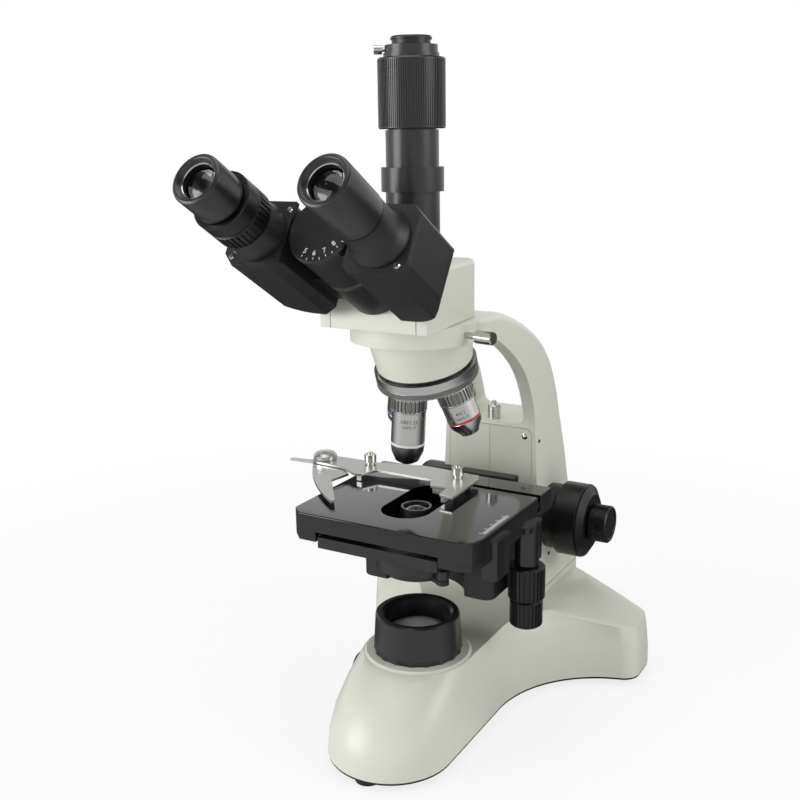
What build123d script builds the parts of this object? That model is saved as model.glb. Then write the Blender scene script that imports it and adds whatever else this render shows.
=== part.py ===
from build123d import *
import os
from math import acos, atan2, cos, degrees, pi, radians, sin, sqrt, tan

os.makedirs("parts", exist_ok=True)

# Trinocular laboratory microscope on a cast stand, in millimetres.
# +Z is up, +X is the user's right and +Y points away from the user.
# The shapes are drawn with the optical axis at x = 0, y = 0 and the table at z = 0,
# and move to the origin under the middle of the object's outline when they are written.

# Where the optical axis stands, seen from the origin.
axis_x = 5.37
axis_y = -17.43

# Fits and gaps
running_gap = 0.05
slide_gap = 0.3
face_gap = 0.5

# Base
foot_height = 5.0
foot_radius = 10.0
front_foot_y = -66.0
rear_foot_x = 90.0
rear_foot_y = 152.0
cover_thickness = 1.5
cover_inset = 0.4
base_height = 60.0
base_wall = 4.0
toe_radius = 42.0
toe_centre_y = -36.0
waist_length = 76.0
flare_radius = 83.0
flare_turn = 74.0
foot_corner_radius = 14.0
rear_corner_radius = 14.0
base_rear_y = 194.0
rear_bow_radius = 193.0
foot_shoulder_step = 0.74
pad_radius = 36.0
shoulder_draw_in = 5.5
pad_height = 1.5

# Arm
arm_joint_rise = 5.0
arm_joint_z = base_height + arm_joint_rise
column_front_y = 111.0
column_rear_y = 191.0
shelf_z = 192.0
arm_half_width_low = 41.0
arm_half_width_high = 35.5
arm_edge_round = 5.0
rib_thickness = 9.0
window_front_y = 47.0
window_corner = 6.0
cavity_half_width = 27.0
cavity_depth = 42.0
cavity_bottom_z = 72.0
cavity_top_z = 184.0
cover_plate_thickness = 2.5
cover_plate_half_width = 33.0
cover_plate_bottom_z = 74.0
cover_plate_top_z = 189.0
cover_plate_corner = 5.0

# Head seat and nose
seat_top_z = 284.0
seat_thickness = 12.0
seat_radius = 40.0
light_bore_radius = 13.0
dovetail_radius = 21.0
dovetail_depth = 6.0

# Nosepiece: its axis leans back, so that the objective in use hangs upright
nose_tilt = 18.0
nose_centre_y = 13.4
nose_centre_z = 254.4
nose_radius = 31.0
nose_turn_shown = -12.5
turret_radius = 33.0
turret_height = 11.0
boss_height = 5.0
boss_radius = 12.0
objective_radius = 10.9
objective_grip_radius = 11.3
objective_grip_length = 8.0
objective_length = 45.0

# Focus drive
focus_axis_y = 137.0
focus_axis_z = 117.0
pinion_module = 1.0
pinion_teeth = 16
coarse_shaft_radius = 5.0
fine_shaft_radius = 2.5
coarse_knob_radius = 27.0
coarse_knob_length = 26.0
fine_knob_radius = 13.6
fine_knob_length = 13.5

# Stage
stage_top_z = 163.0
stage_left_x = -66.5
stage_right_x = 65.0
stage_front_y = -49.0
stage_rear_y = 70.0
stage_slab = 6.0
stage_skirt = 14.5
stage_wall = 4.0
stage_slot_half_width = 16.5
stage_slot_front_y = -12.5
stage_slot_rear_y = 22.5
stage_beam_front_y = 42.0
stage_back_limit = 3.0
stage_forward_limit = 28.0
stage_down = 8.0
stage_up = 19.0
lower_plate_top_z = 148.2
lower_plate_thickness = 7.2
bracket_bottom_z = 100.0
bracket_half_width = 49.0
bracket_front_y = 10.0
bracket_rear_y = 100.0

# Slide holder
holder_thickness = 1.8
holder_lift = 4.3
rail_slot_y = 49.0
rail_slot_half_width = 3.0
rail_bar_bottom_z = 152.3
finger_pivot_x = -96.0
finger_pivot_y = 38.0

# Stage drive
drive_x = 62.0
drive_y = 37.0
drive_knob_radius = 12.3
drive_shaft_radius = 8.0

# Condenser
condenser_radius = 22.0
iris_radius = 27.0
condenser_bottom_z = 122.0
condenser_top_z = 161.5

# Illuminator
collar_bottom_radius = 29.5
collar_top_radius = 28.0
collar_height = 26.3
collar_bore_radius = 21.7
collar_ledge_height = 9.0
collar_lip_radius = 17.0

# Head and eyepieces
tube_tilt = 32.0
hinge_y = -100.3
hinge_z = 347.0
hub_radius = 19.0
spindle_radius = 9.0
head_face_distance = 70.5
eye_spacing = 76.0
eye_drop = 3.5
box_inner_x = 20.0
box_outer_x = 57.0
box_low = -23.5
box_high = 16.0
box_length = 63.0
box_back_radius = 26.0
plate_thickness = 3.0
eyepiece_radius = 14.3
eyepiece_tube_radius = 11.6
eye_front_distance = 59.0
head_front_y = -50.0
head_rear_y = 28.0
head_half_width = 36.0
head_half_width_rear = 30.0
head_top_z = 320.0
head_band_top_z = 294.5

# Photo tube
photo_tube_radius = 16.3
photo_collar_radius = 18.9
photo_collar_height = 14.2
adapter_tube_radius = 15.9
adapter_rise = 22.0
adapter_length = 40.2
adapter_top_height = 7.0
adapter_radius = 20.0
cap_radius = 12.2
cap_height = 5.0
overall_height = 450.0
adapter_z = overall_height - cap_height - adapter_top_height - adapter_length
photo_collar_z = adapter_z - adapter_rise - photo_collar_height


def turned(*points):
    """A solid of revolution about Z from (radius, height) points."""
    return revolve(make_face(Plane.XZ * Polyline(*points, close=True)), Axis.Z)


def tube(r_out, r_in, low, high):
    """A plain ring about Z."""
    return turned((r_in, low), (r_out, low), (r_out, high), (r_in, high))


def rod(r, low, high):
    """A plain cylinder about Z."""
    return Pos(0, 0, (low + high) / 2) * Cylinder(r, high - low)


def block(x0, x1, y0, y1, z0, z1):
    """A box between two corners."""
    centre = Pos((x0 + x1) / 2, (y0 + y1) / 2, (z0 + z1) / 2)
    return centre * Box(x1 - x0, y1 - y0, z1 - z0)


def prism_x(x0, x1, *points):
    """A prism along X from (y, z) points."""
    face = make_face(Polyline(*[(x0, y, z) for y, z in points], close=True))
    return extrude(face, x1 - x0, dir=(1, 0, 0))


def prism_y(y0, y1, *points):
    """A prism along Y from (x, z) points."""
    face = make_face(Polyline(*[(x, y0, z) for x, z in points], close=True))
    return extrude(face, y1 - y0, dir=(0, 1, 0))


def lens(r, low, edge, rise):
    """A glass lens about Z: flat below, a short edge and a round dome."""
    ball_radius = (r * r + rise * rise) / (2 * rise)
    top = low + edge + rise
    return rod(r, low, top) & Pos(0, 0, top - ball_radius) * Sphere(ball_radius)


def both_sides(shape):
    """A shape and its mirror image across the middle plane."""
    return [shape, mirror(shape, Plane.YZ)]


def grooved(body, count, radius, width, depth, low, high):
    """Cuts equal grip grooves along Z round a turned body."""
    groove = Pos(radius, 0, (low + high) / 2) * Box(2 * depth, width, high - low)
    return body - [Rot(0, 0, 360 * i / count) * groove for i in range(count)]


def save(name, *solids):
    """Writes one node, moved from the optical axis to the origin."""
    moved = [Pos(axis_x, axis_y, 0) * s for solid in solids for s in solid.solids()]
    shape = moved[0] if len(moved) == 1 else Compound(children=moved)
    export_step(shape, f"parts/{name}.step")


# Frames that the sub-assemblies are drawn in
tilt = radians(tube_tilt)
toward_eye = (0, -cos(tilt), sin(tilt))
hinge_frame = Plane(origin=(0, hinge_y, hinge_z), x_dir=(1, 0, 0), z_dir=toward_eye).location
lean = radians(nose_tilt)
nose_up = (0, -sin(lean), cos(lean))
nose_frame = Plane(origin=(0, nose_centre_y, nose_centre_z), x_dir=(1, 0, 0), z_dir=nose_up).location
apex = nose_centre_y / sin(lean)
focus_frame = Plane(origin=(0, focus_axis_y, focus_axis_z), x_dir=(0, 1, 0), z_dir=(1, 0, 0)).location


def base_outline(z, toe_r, toe_y, waist_end_y, flare_r, flare_deg, corner_r, rear_y, bow_r, rear_r, inset=0.0):
    """Plan outline of the base at one height: round toe, waist, swept feet and bowed back."""
    toe = toe_r - inset
    flare = flare_r + inset
    corner = corner_r - inset
    bow = bow_r - inset
    rear = rear_r - inset
    turn = radians(flare_deg)
    flare_end = (toe + flare * (1 - cos(turn)), waist_end_y + flare * sin(turn))
    corner_centre = (flare_end[0] - corner * cos(turn), flare_end[1] + corner * sin(turn))
    side_x = corner_centre[0] + corner
    bow_y = rear_y - bow_r
    rear_centre = (side_x - rear, bow_y + sqrt((bow - rear) ** 2 - (side_x - rear) ** 2))
    rear_turn = atan2(rear_centre[1] - bow_y, rear_centre[0])
    bow_start = (bow * cos(rear_turn), bow_y + bow * sin(rear_turn))

    def arc_mid(centre, r, from_deg, to_deg):
        middle = radians((from_deg + to_deg) / 2)
        return (centre[0] + r * cos(middle), centre[1] + r * sin(middle))

    start_deg = flare_deg - 90
    edges = [
        ThreePointArc((0, toe_y - toe), arc_mid((0, toe_y), toe, -90, 0), (toe, toe_y)),
        Line((toe, toe_y), (toe, waist_end_y)),
        ThreePointArc((toe, waist_end_y),
                      arc_mid((toe + flare, waist_end_y), flare, 180, 180 - flare_deg), flare_end),
        ThreePointArc(flare_end, arc_mid(corner_centre, corner, -flare_deg, 0),
                      (side_x, corner_centre[1])),
        Line((side_x, corner_centre[1]), (side_x, rear_centre[1])),
        ThreePointArc((side_x, rear_centre[1]),
                      arc_mid(rear_centre, rear, 0, degrees(rear_turn)), bow_start),
        ThreePointArc(bow_start,
                      arc_mid((0, bow_y), bow, degrees(rear_turn), 90), (0, bow_y + bow)),
    ]
    mirrored = [mirror(e, Plane.YZ) for e in edges]
    return Pos(0, 0, z) * make_face(edges + mirrored)


def base_body(inset, low, high, steps):
    """The cast base as a stack of outlines that draw in towards the top, or its inner space."""
    waist_end = toe_centre_y + waist_length
    outlines = []
    for step in steps:
        z = low + step * (high - low)
        slope = step ** 2.2
        sweep = max(0.0, step - foot_shoulder_step) / (1 - foot_shoulder_step)
        outlines.append(base_outline(
            z, toe_radius - shoulder_draw_in * slope, toe_centre_y * (1 - slope),
            waist_end + 18 * sweep, flare_radius - 33 * sweep, flare_turn - 28 * sweep,
            foot_corner_radius + 8 * sweep, base_rear_y - 9 * slope, rear_bow_radius - 40 * sweep,
            rear_corner_radius + 8 * sweep, inset))
    return loft(outlines, ruled=True)


casting_low = foot_height + cover_thickness
casting_floor = base_height - base_wall
shoulder_steps = (0, 0.25, 0.5, foot_shoulder_step, 0.84, 0.94, 1)
rear_panel_half_width = 38.0
rear_panel_low = 15.0
rear_panel_high = 45.0
rear_panel_y = 186.0
rear_panel_thickness = 2.0
inlet_x = -18.0
inlet_z = 30.0
switch_x = 18.0
dial_y = 6.0
dial_z = 32.0
dial_shaft_radius = 3.0
pad_top = base_height + pad_height


def base_casting():
    """Hollow casting with the lamp opening, the arm's plinth and the rear panel's opening."""
    body = base_body(0, casting_low, base_height, shoulder_steps)
    plinth_depth = column_rear_y - column_front_y
    plinth = Pos(0, column_front_y + plinth_depth / 2, arm_joint_z - 40)
    plinth *= extrude(RectangleRounded(2 * arm_half_width_low, plinth_depth, arm_edge_round), 40)
    pad = turned((0, base_height - 1), (pad_radius, base_height - 1), (pad_radius, base_height),
                 (pad_radius - pad_height, pad_top), (0, pad_top))
    space = base_body(base_wall, casting_low - 1, casting_floor, (0, 0.6, 1))
    lamp_hole = rod(collar_lip_radius, casting_floor - 5, pad_top + 1)
    panel_hole = block(-rear_panel_half_width, rear_panel_half_width, rear_panel_y - 10,
                       base_rear_y + 10, rear_panel_low, rear_panel_high)
    dial_hole = Pos(-toe_radius, dial_y, dial_z) * Rot(0, 90, 0) * Cylinder(dial_shaft_radius + running_gap, 20)
    wire_hole = block(-15, 15, column_front_y + 20, column_rear_y - 15, casting_floor - 5, arm_joint_z + 1)
    return body + plinth + pad - space - lamp_hole - panel_hole - dial_hole - wire_hole


def cover_plate():
    """Flat plate that closes the base from below."""
    outline = base_outline(foot_height, toe_radius, toe_centre_y, toe_centre_y + waist_length, flare_radius,
                           flare_turn, foot_corner_radius, base_rear_y, rear_bow_radius,
                           rear_corner_radius, cover_inset)
    return extrude(outline, cover_thickness)


def rubber_foot(x, y):
    """Round foot with a screw recess in its underside."""
    return Pos(x, y, 0) * turned((0, 1.6), (4.2, 1.6), (4.2, 0), (foot_radius - 1.5, 0),
                                 (foot_radius, foot_height), (0, foot_height))


def illuminator_collar():
    """Black ring over the lamp, with finger grooves round its foot and a ledge for the lens."""
    z0 = pad_top
    z1 = pad_top + collar_height
    ring = turned((collar_lip_radius, z0), (collar_bottom_radius, z0), (collar_top_radius, z1 - 1),
                  (collar_top_radius - 1, z1), (collar_bore_radius + 2, z1), (collar_bore_radius, z1 - 2),
                  (collar_bore_radius, z0 + collar_ledge_height), (collar_lip_radius, z0 + collar_ledge_height))
    return grooved(ring, 18, collar_bottom_radius + 0.4, 7.0, 1.0, z0 - 1, z0 + 3.5)


def field_lens():
    """Domed glass that rests on the collar's ledge."""
    return lens(collar_bore_radius - slide_gap, pad_top + collar_ledge_height, 3, 6)


lamp_socket_radius = 13.0
lamp_socket_top = 24.0
bulb_radius = 5.0


def lamp_holder():
    """Ceramic socket on a foot that is screwed to the cover plate."""
    foot = extrude(Pos(0, 0, casting_low) * RectangleRounded(50, 30, 4), 3)
    return foot + rod(lamp_socket_radius, casting_low, lamp_socket_top) - rod(2, lamp_socket_top - 6, lamp_socket_top + 1)


def lamp_bulb():
    """Small capsule lamp that stands in the socket."""
    pin = rod(2, lamp_socket_top - 6, lamp_socket_top)
    body = turned((0, lamp_socket_top), (bulb_radius, lamp_socket_top), (bulb_radius, lamp_socket_top + 14),
                  (bulb_radius * 0.6, lamp_socket_top + 18), (0, lamp_socket_top + 19.5))
    return pin + body


def rear_panel():
    """Flat panel in the back of the base, with cut-outs for the inlet and the switch."""
    panel = block(-rear_panel_half_width, rear_panel_half_width, rear_panel_y,
                  rear_panel_y + rear_panel_thickness, rear_panel_low, rear_panel_high)
    inlet_cut = block(inlet_x - 13.5, inlet_x + 13.5, rear_panel_y - 1, rear_panel_y + 5, inlet_z - 10, inlet_z + 10)
    switch_cut = block(switch_x - 10, switch_x + 10, rear_panel_y - 1, rear_panel_y + 5, inlet_z - 6.5, inlet_z + 6.5)
    return panel - inlet_cut - switch_cut


def power_inlet():
    """Three-pin appliance inlet, open towards the back."""
    face_y = rear_panel_y + rear_panel_thickness
    body = block(inlet_x - 13.5, inlet_x + 13.5, rear_panel_y - 16, face_y, inlet_z - 10, inlet_z + 10)
    flange = block(inlet_x - 16, inlet_x + 16, face_y, face_y + 1.5, inlet_z - 12.5, inlet_z + 12.5)
    cavity = block(inlet_x - 11.5, inlet_x + 11.5, face_y - 14, face_y + 3, inlet_z - 8, inlet_z + 8)
    pins = [block(inlet_x + x - 1, inlet_x + x + 1, face_y - 15, face_y - 4, inlet_z + z - 2, inlet_z + z + 2)
            for x, z in ((-7, -1.5), (0, 2.5), (7, -1.5))]
    return body + flange - cavity + pins


def switch_frame():
    """Bezel that the rocker tips in."""
    face_y = rear_panel_y + rear_panel_thickness
    body = block(switch_x - 10, switch_x + 10, rear_panel_y - 12, face_y, inlet_z - 6.5, inlet_z + 6.5)
    flange = block(switch_x - 12, switch_x + 12, face_y, face_y + 1.5, inlet_z - 8, inlet_z + 8)
    well = block(switch_x - 8.5, switch_x + 8.5, rear_panel_y - 8, face_y + 3, inlet_z - rocker_well_half_height,
                 inlet_z + rocker_well_half_height)
    return body + flange - well


rocker_turn = 10.0
rocker_well_half_height = 5.0
rocker_pivot_y = rear_panel_y + rear_panel_thickness - 1.0


def switch_rocker():
    """Rocker key that tips about an upright axis across its middle."""
    half = 8.0
    depth = 5.0
    outline = Polyline((-half, 2.6), (0, 1.2), (half, 2.6), (half - 1.2, -depth), (1.2 - half, -depth), close=True)
    key = extrude(make_face(outline), 4.6, both=True)
    pivots = rod(1.1, -rocker_well_half_height + 0.1, rocker_well_half_height - 0.1)
    return Pos(switch_x, rocker_pivot_y, inlet_z) * (key + pivots)


def brightness_dial():
    """Ribbed dial on the left side of the base, with its short shaft."""
    r = 11.0
    knob = turned((0, 0.8), (r, 0.8), (r - 0.5, 8), (r - 1.3, 9), (0, 9))
    knob = grooved(knob, 12, r + 0.3, 1.6, 0.9, 2, 10)
    return Pos(-toe_radius, dial_y, dial_z) * Rot(0, -90, 0) * (knob + rod(dial_shaft_radius, -8, 1.5))


# Arm
seat_bottom_z = seat_top_z - seat_thickness
arch_top_y = 30.0
window_half_width = arm_half_width_high - rib_thickness
pinion_radius = pinion_module * pinion_teeth / 2
rack_line_y = focus_axis_y - pinion_radius


def arm_side_outline():
    """Side view of the arm: upright column, arch and the flat under the head."""
    lean_top = (column_rear_y - 19, arm_joint_z + 85)
    outer = Spline(lean_top, (column_rear_y - 30, shelf_z - 2), (column_rear_y - 50, shelf_z + 41),
                   (column_front_y - 10, shelf_z + 72.5), (arch_top_y + 30, seat_top_z - 3.5),
                   (arch_top_y, seat_top_z), tangents=((-0.22, 1), (-1, 0)))
    inner = Spline((column_front_y, shelf_z), (column_front_y - 2.5, shelf_z + 12),
                   (column_front_y - 18.5, shelf_z + 41), (column_front_y - 52.5, shelf_z + 67),
                   (26, seat_bottom_z), tangents=((0, 1), (-1, 0.3)))
    return make_face([
        Line((column_front_y, arm_joint_z), (column_rear_y, arm_joint_z)),
        Line((column_rear_y, arm_joint_z), lean_top), outer,
        Line((arch_top_y, seat_top_z), (0, seat_top_z)),
        Line((0, seat_top_z), (0, seat_bottom_z)), Line((0, seat_bottom_z), (26, seat_bottom_z)),
        inner, Line((column_front_y, shelf_z), (column_front_y, arm_joint_z))])


def arm_draft():
    """The arm's tapering width as an endless prism from front to back."""
    knee_z = arm_joint_z + (seat_top_z - arm_joint_z) / 1.75
    low, high = arm_half_width_low, arm_half_width_high
    front = make_face(Plane.XZ * Polyline((-low, arm_joint_z), (low, arm_joint_z), (high, knee_z), (high, 300),
                                          (-high, 300), (-high, knee_z), close=True))
    return extrude(front, 300, both=True)


def arm_casting():
    """One casting: hollow column, two ribs with a hand opening between them, and the head seat."""
    side = extrude(Plane.YZ * arm_side_outline(), 60, both=True)
    arm = side & arm_draft()
    rounded = [e for e in arm.edges()
               if abs(e.center().X) > arm_half_width_high - 2 and e.length > 20
               and e.center().Y + 0.42 * e.center().Z > 190 and e.center().Y > column_front_y - 30]
    arm = fillet(rounded, arm_edge_round)
    arm += rod(seat_radius, seat_bottom_z, seat_top_z)

    # The hand opening runs from front to back between the ribs
    opening_front = Plane.XZ * Pos(0, (shelf_z + 320) / 2) * RectangleRounded(
        2 * window_half_width, 320 - shelf_z, window_corner)
    opening_side = make_face(Plane.YZ * Polyline(
        (column_front_y - 20, shelf_z - 1), (window_front_y, shelf_z + 40), (window_front_y, seat_bottom_z - 3),
        (window_front_y + 40, seat_top_z + 8), (column_rear_y + 20, seat_top_z + 8),
        (column_rear_y + 20, shelf_z - 1), close=True))
    opening = extrude(opening_front, 300, both=True) & extrude(opening_side, 60, both=True)

    cover_y = column_front_y + cover_plate_thickness
    cavity = block(-cavity_half_width, cavity_half_width, cover_y - 1, cover_y + cavity_depth,
                   cavity_bottom_z, cavity_top_z)
    recess_height = cover_plate_top_z - cover_plate_bottom_z
    recess = Plane.XZ * Pos(0, cover_plate_bottom_z + recess_height / 2) * RectangleRounded(
        2 * cover_plate_half_width, recess_height, cover_plate_corner)
    recess = Pos(0, cover_y, 0) * extrude(recess, 30)
    shaft_bore = focus_frame * rod(coarse_shaft_radius + running_gap, -60, 60)
    socket = rod(dovetail_radius + running_gap, seat_top_z - dovetail_depth - slide_gap, seat_top_z + 1)
    light_bore = rod(light_bore_radius, seat_bottom_z - 1, seat_top_z + 1)
    stop_hole = Pos(0, stop_screw_y, 0) * rod(stop_screw_radius, cavity_top_z - 1, shelf_z + 1)
    lock_hole = lock_frame * rod(lock_screw_radius + running_gap, dovetail_radius - 1, seat_radius + 5)
    wire_hole = block(-12, 12, column_rear_y - 30, column_rear_y - 18, arm_joint_z - 1, arm_joint_z + 6)
    return arm - opening - cavity - recess - shaft_bore - socket - light_bore - stop_hole - lock_hole - wire_hole


stop_screw_y = 118.0
stop_screw_radius = 1.6
lock_screw_radius = 2.0
lock_screw_z = 278.0
lock_screw_heading = -10.0
lock_frame = Location((0, 0, lock_screw_z), (0, 0, 0)) * Rot(0, 0, lock_screw_heading) * Rot(0, 90, 0)
neck_half_width = 14.0
neck_low = 100.0
neck_high = 118.0


def column_covers():
    """The two halves of the front cover, with the slot that the stage's neck slides in."""
    high = cover_plate_top_z - slide_gap
    low = cover_plate_bottom_z + slide_gap
    width = cover_plate_half_width - slide_gap
    plate = Plane.XZ * Pos(0, (low + high) / 2) * RectangleRounded(2 * width, high - low, cover_plate_corner)
    plate = Pos(0, column_front_y + cover_plate_thickness, 0) * extrude(plate, cover_plate_thickness)
    slot = block(-neck_half_width - 1.5, neck_half_width + 1.5, 0, 200,
                 neck_low - stage_down - 1.5, neck_high + stage_up + 1.5)
    plate -= slot
    for x in (-1, 1):
        for z in (cover_plate_bottom_z + 6, cover_plate_top_z - 6):
            plate -= Pos(x * (cover_plate_half_width - 5.5), column_front_y, z) * Rot(90, 0, 0) * Cylinder(1.5, 20)
    seam = 0.15
    left = plate & block(-100, -seam, 0, 200, 0, 300)
    right = plate & block(seam, 100, 0, 200, 0, 300)
    return left, right


def column_cover_screws():
    """Small round-headed screws at the cover's corners."""
    screw = turned((0, -cover_plate_thickness), (1.5, -cover_plate_thickness), (1.5, 0), (2.3, 0), (0, 1.1))
    return [Pos(x * (cover_plate_half_width - 5.5), column_front_y, z) * Rot(90, 0, 0) * screw
            for x in (-1, 1) for z in (cover_plate_bottom_z + 6, cover_plate_top_z - 6)]


def stage_stop_screw():
    """Knurled screw on the shelf that limits how high the stage goes."""
    body = turned((0, cavity_top_z), (stop_screw_radius, cavity_top_z), (stop_screw_radius, shelf_z), (4.7, shelf_z),
                  (4.7, shelf_z + 9.6), (4.2, shelf_z + 10), (1.7, shelf_z + 10), (1.7, shelf_z + 13),
                  (0, shelf_z + 13))
    return Pos(0, stop_screw_y, 0) * body


def nose_housing():
    """Tapered drum under the head seat, cut square to the nosepiece's leaning axis."""
    drum = nose_frame * turned((0, nose_ring_height), (nose_radius, nose_ring_height), (nose_radius + 3.4, 34), (0, 34))
    drum &= block(-60, 60, -60, 80, 200, seat_bottom_z)
    drum -= extrude(Plane.YZ * arm_side_outline(), 60, both=True)
    return drum - rod(light_bore_radius, 200, 300) - nose_frame * rod(nose_pivot_radius, -20, nose_ring_height + 8)


nose_ring_height = 1.8
nose_pivot_radius = 5.0
turret_drop = 0.3


def nose_bearing():
    """Dark bearing ring between the drum and the turret, and the bolt that the turret turns on."""
    ring = nose_frame * tube(nose_radius - 1.2, nose_pivot_radius, 0, nose_ring_height)
    return [ring - rod(light_bore_radius, 200, 300), nose_pivot()]


def nose_pivot():
    """Bolt that the turret turns on, with its slotted cap below."""
    low = -turret_drop - turret_height
    bolt = turned((0, low - 2.5), (7, low - 2.5), (8, low - 1.5), (8, low - turret_drop),
                  (nose_pivot_radius, low - turret_drop), (nose_pivot_radius, nose_ring_height + 8),
                  (0, nose_ring_height + 8))
    return nose_frame * bolt


def head_lock_screw():
    """Thumb screw that clamps the head's dovetail."""
    stem = rod(lock_screw_radius, dovetail_radius + 0.5, seat_radius + 8)
    knob = turned((0, seat_radius + 8), (4.1, seat_radius + 8), (4.1, seat_radius + 19.2),
                  (3.5, seat_radius + 19.8), (0, seat_radius + 19.8))
    return lock_frame * (stem + knob)


# Focus drive
knob_bore_end = 60.0
flange_outer_x = 48.0


def pinion(module, teeth, low, high, bore):
    """Spur pinion about Z with involute flanks, one tooth centred on +X, thinned for a little backlash."""
    r = module * teeth / 2
    base_r = r * cos(radians(20))
    half_tooth = (pi / 2 * module - 0.12) / (2 * r)

    def spread(angle):
        return tan(angle) - angle

    radii = [base_r, (base_r + r) / 2, r, r + 0.5 * module, r + 0.9 * module]
    flank = []
    for radius in radii:
        pressure = acos(min(1, base_r / radius))
        flank.append((radius, half_tooth + spread(radians(20)) - spread(pressure)))
    root_r = r - 1.25 * module
    points = []
    for i in range(teeth):
        middle = 2 * pi * i / teeth
        side = [(root_r, flank[0][1])] + flank
        points += [(radius * cos(middle - turn), radius * sin(middle - turn)) for radius, turn in side]
        points += [(radius * cos(middle + turn), radius * sin(middle + turn)) for radius, turn in reversed(side)]
    wheel = extrude(make_face(Polyline(*points, close=True)), high - low)
    return Pos(0, 0, low) * wheel - rod(bore, low - 1, high + 1)


def rack_outline(module, length, back):
    """Rack with straight flanks: runs along X, teeth towards +Y, a tooth gap at the middle, pitch line at y = 0."""
    pitch = pi * module
    count = int(length / pitch / 2)
    half = pitch / 4 - 0.03
    root = -1.25 * module
    tip = 0.9 * module
    slope = tan(radians(20))
    points = [(-length / 2, root)]
    for i in range(-count, count):
        middle = (i + 0.5) * pitch
        points += [(middle - half + slope * root, root), (middle - half + slope * tip, tip),
                   (middle + half - slope * tip, tip), (middle + half - slope * root, root)]
    points += [(length / 2, root), (length / 2, root - back), (-length / 2, root - back)]
    return make_face(Polyline(*points, close=True))


def focus_flanges():
    """Plain flanges between the arm and the coarse knobs."""
    ring = turned((coarse_shaft_radius + running_gap, arm_half_width_high), (flange_radius, arm_half_width_high),
                  (flange_radius, flange_outer_x - 1), (flange_radius - 1, flange_outer_x),
                  (coarse_shaft_radius + running_gap, flange_outer_x))
    return both_sides(focus_frame * ring - arm_draft())


def coarse_knobs():
    """Large knobs, each with a groove before its sloping front."""
    r = coarse_knob_radius
    inner_x = flange_outer_x + face_gap
    groove_x = inner_x + 17.5
    end_x = fine_knob_x - face_gap
    knob = turned((coarse_shaft_radius, inner_x), (r - 1, inner_x), (r, inner_x + 1), (r, groove_x),
                  (r - 1.2, groove_x + 0.6), (r - 0.6, groove_x + 1.3), (20, end_x),
                  (fine_shaft_radius + running_gap, end_x),
                  (fine_shaft_radius + running_gap, knob_bore_end), (coarse_shaft_radius, knob_bore_end))
    return both_sides(focus_frame * knob)


def fine_knobs():
    """Small ribbed knobs with set screw holes."""
    r = fine_knob_radius
    end_x = fine_knob_x + fine_knob_length
    knob = turned((fine_shaft_radius, fine_knob_x), (r, fine_knob_x), (r, end_x - 1), (r - 1, end_x), (0, end_x),
                  (0, end_x - 3), (fine_shaft_radius, end_x - 3))
    knob = grooved(knob, 16, r + 0.3, 1.2, 0.8, fine_knob_x - 1, end_x + 1)
    knob -= Pos(0, 0, fine_knob_x + 4) * Rot(0, 0, 175) * Rot(0, 90, 0) * rod(1.1, 6, 20)
    return both_sides(focus_frame * knob) + [fine_shaft()]


def coarse_shaft():
    """Hollow shaft that joins the coarse knobs, with the pinion in its middle."""
    shaft = tube(coarse_shaft_radius, fine_shaft_radius + running_gap, -knob_bore_end, knob_bore_end)
    wheel = pinion(pinion_module, pinion_teeth, -5, 5, coarse_shaft_radius)
    return focus_frame * (shaft + Rot(0, 0, 180) * wheel)


def fine_shaft():
    """Thin shaft that joins the fine knobs."""
    end_x = fine_knob_x + fine_knob_length - 3
    return focus_frame * rod(fine_shaft_radius, -end_x, end_x)




flange_radius = 24.0
fine_knob_x = 71.5
carriage_low = 85.0
carriage_high = 150.0
carriage_front_y = column_front_y + cover_plate_thickness + face_gap
carriage_depth = 10.0
carriage_half_width = 15.7
way_depth = 2.7


def way_outline(half_width, ridge, outer):
    """Half of a guide's plan: a V ridge at the middle of its depth, between two widths."""
    front = carriage_front_y
    middle = front + carriage_depth / 2
    rear = front + carriage_depth
    return [(half_width, front), (half_width, middle - ridge), (half_width + ridge, middle),
            (half_width, middle + ridge), (half_width, rear), (outer, rear), (outer, front)]


def column_rails():
    """Two upright V-grooved rails inside the column."""
    plan = make_face(Polyline(*way_outline(carriage_half_width + slide_gap, way_depth + 0.12, cavity_half_width),
                              close=True))
    rail = Pos(0, 0, cavity_bottom_z + 2) * extrude(plan, cavity_top_z - cavity_bottom_z - 4)
    return both_sides(rail)


def stage_carriage():
    """Carriage that runs between the rails, with the rack on its back."""
    half = make_face(Polyline(*way_outline(carriage_half_width, way_depth, 0), close=True))
    half = Pos(0, 0, carriage_low) * extrude(half, carriage_high - carriage_low)
    return half + mirror(half, Plane.YZ) + focus_rack()


def focus_rack():
    """Rack on the back of the carriage, in mesh with the pinion."""
    length = carriage_high - carriage_low - 6
    pitch_y = focus_axis_y - pinion_radius
    back = pitch_y - 1.25 * pinion_module - carriage_front_y - carriage_depth
    plan = extrude(rack_outline(pinion_module, length, back), 4.5, both=True)
    return Pos(0, pitch_y, focus_axis_z) * Rot(0, -90, 0) * plan


# Stage
slab_bottom_z = stage_top_z - stage_slab
skirt_bottom_z = stage_top_z - stage_skirt
lower_plate_bottom_z = lower_plate_top_z - lower_plate_thickness
guide_inner_x = 38.0
guide_foot_x = 44.0
guide_lean = 3.0
guide_front_y = stage_front_y + stage_wall + stage_back_limit + 1
guide_rear_y = stage_beam_front_y - stage_forward_limit - 1
boss_outer_x = 68.0


def stage_outline(inset):
    """Plan outline of the stage with its cut and rounded front corners."""
    x0 = stage_left_x + inset
    x1 = stage_right_x - inset
    y0 = stage_front_y + inset
    y1 = stage_rear_y - inset
    return make_face(Polyline((x0 + 8, y0), (x1 - 9, y0), (x1 - 2.6, y0 + 3.4), (x1, y0 + 13), (x1, y1),
                              (x0, y1), (x0, y0 + 8), close=True))


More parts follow.
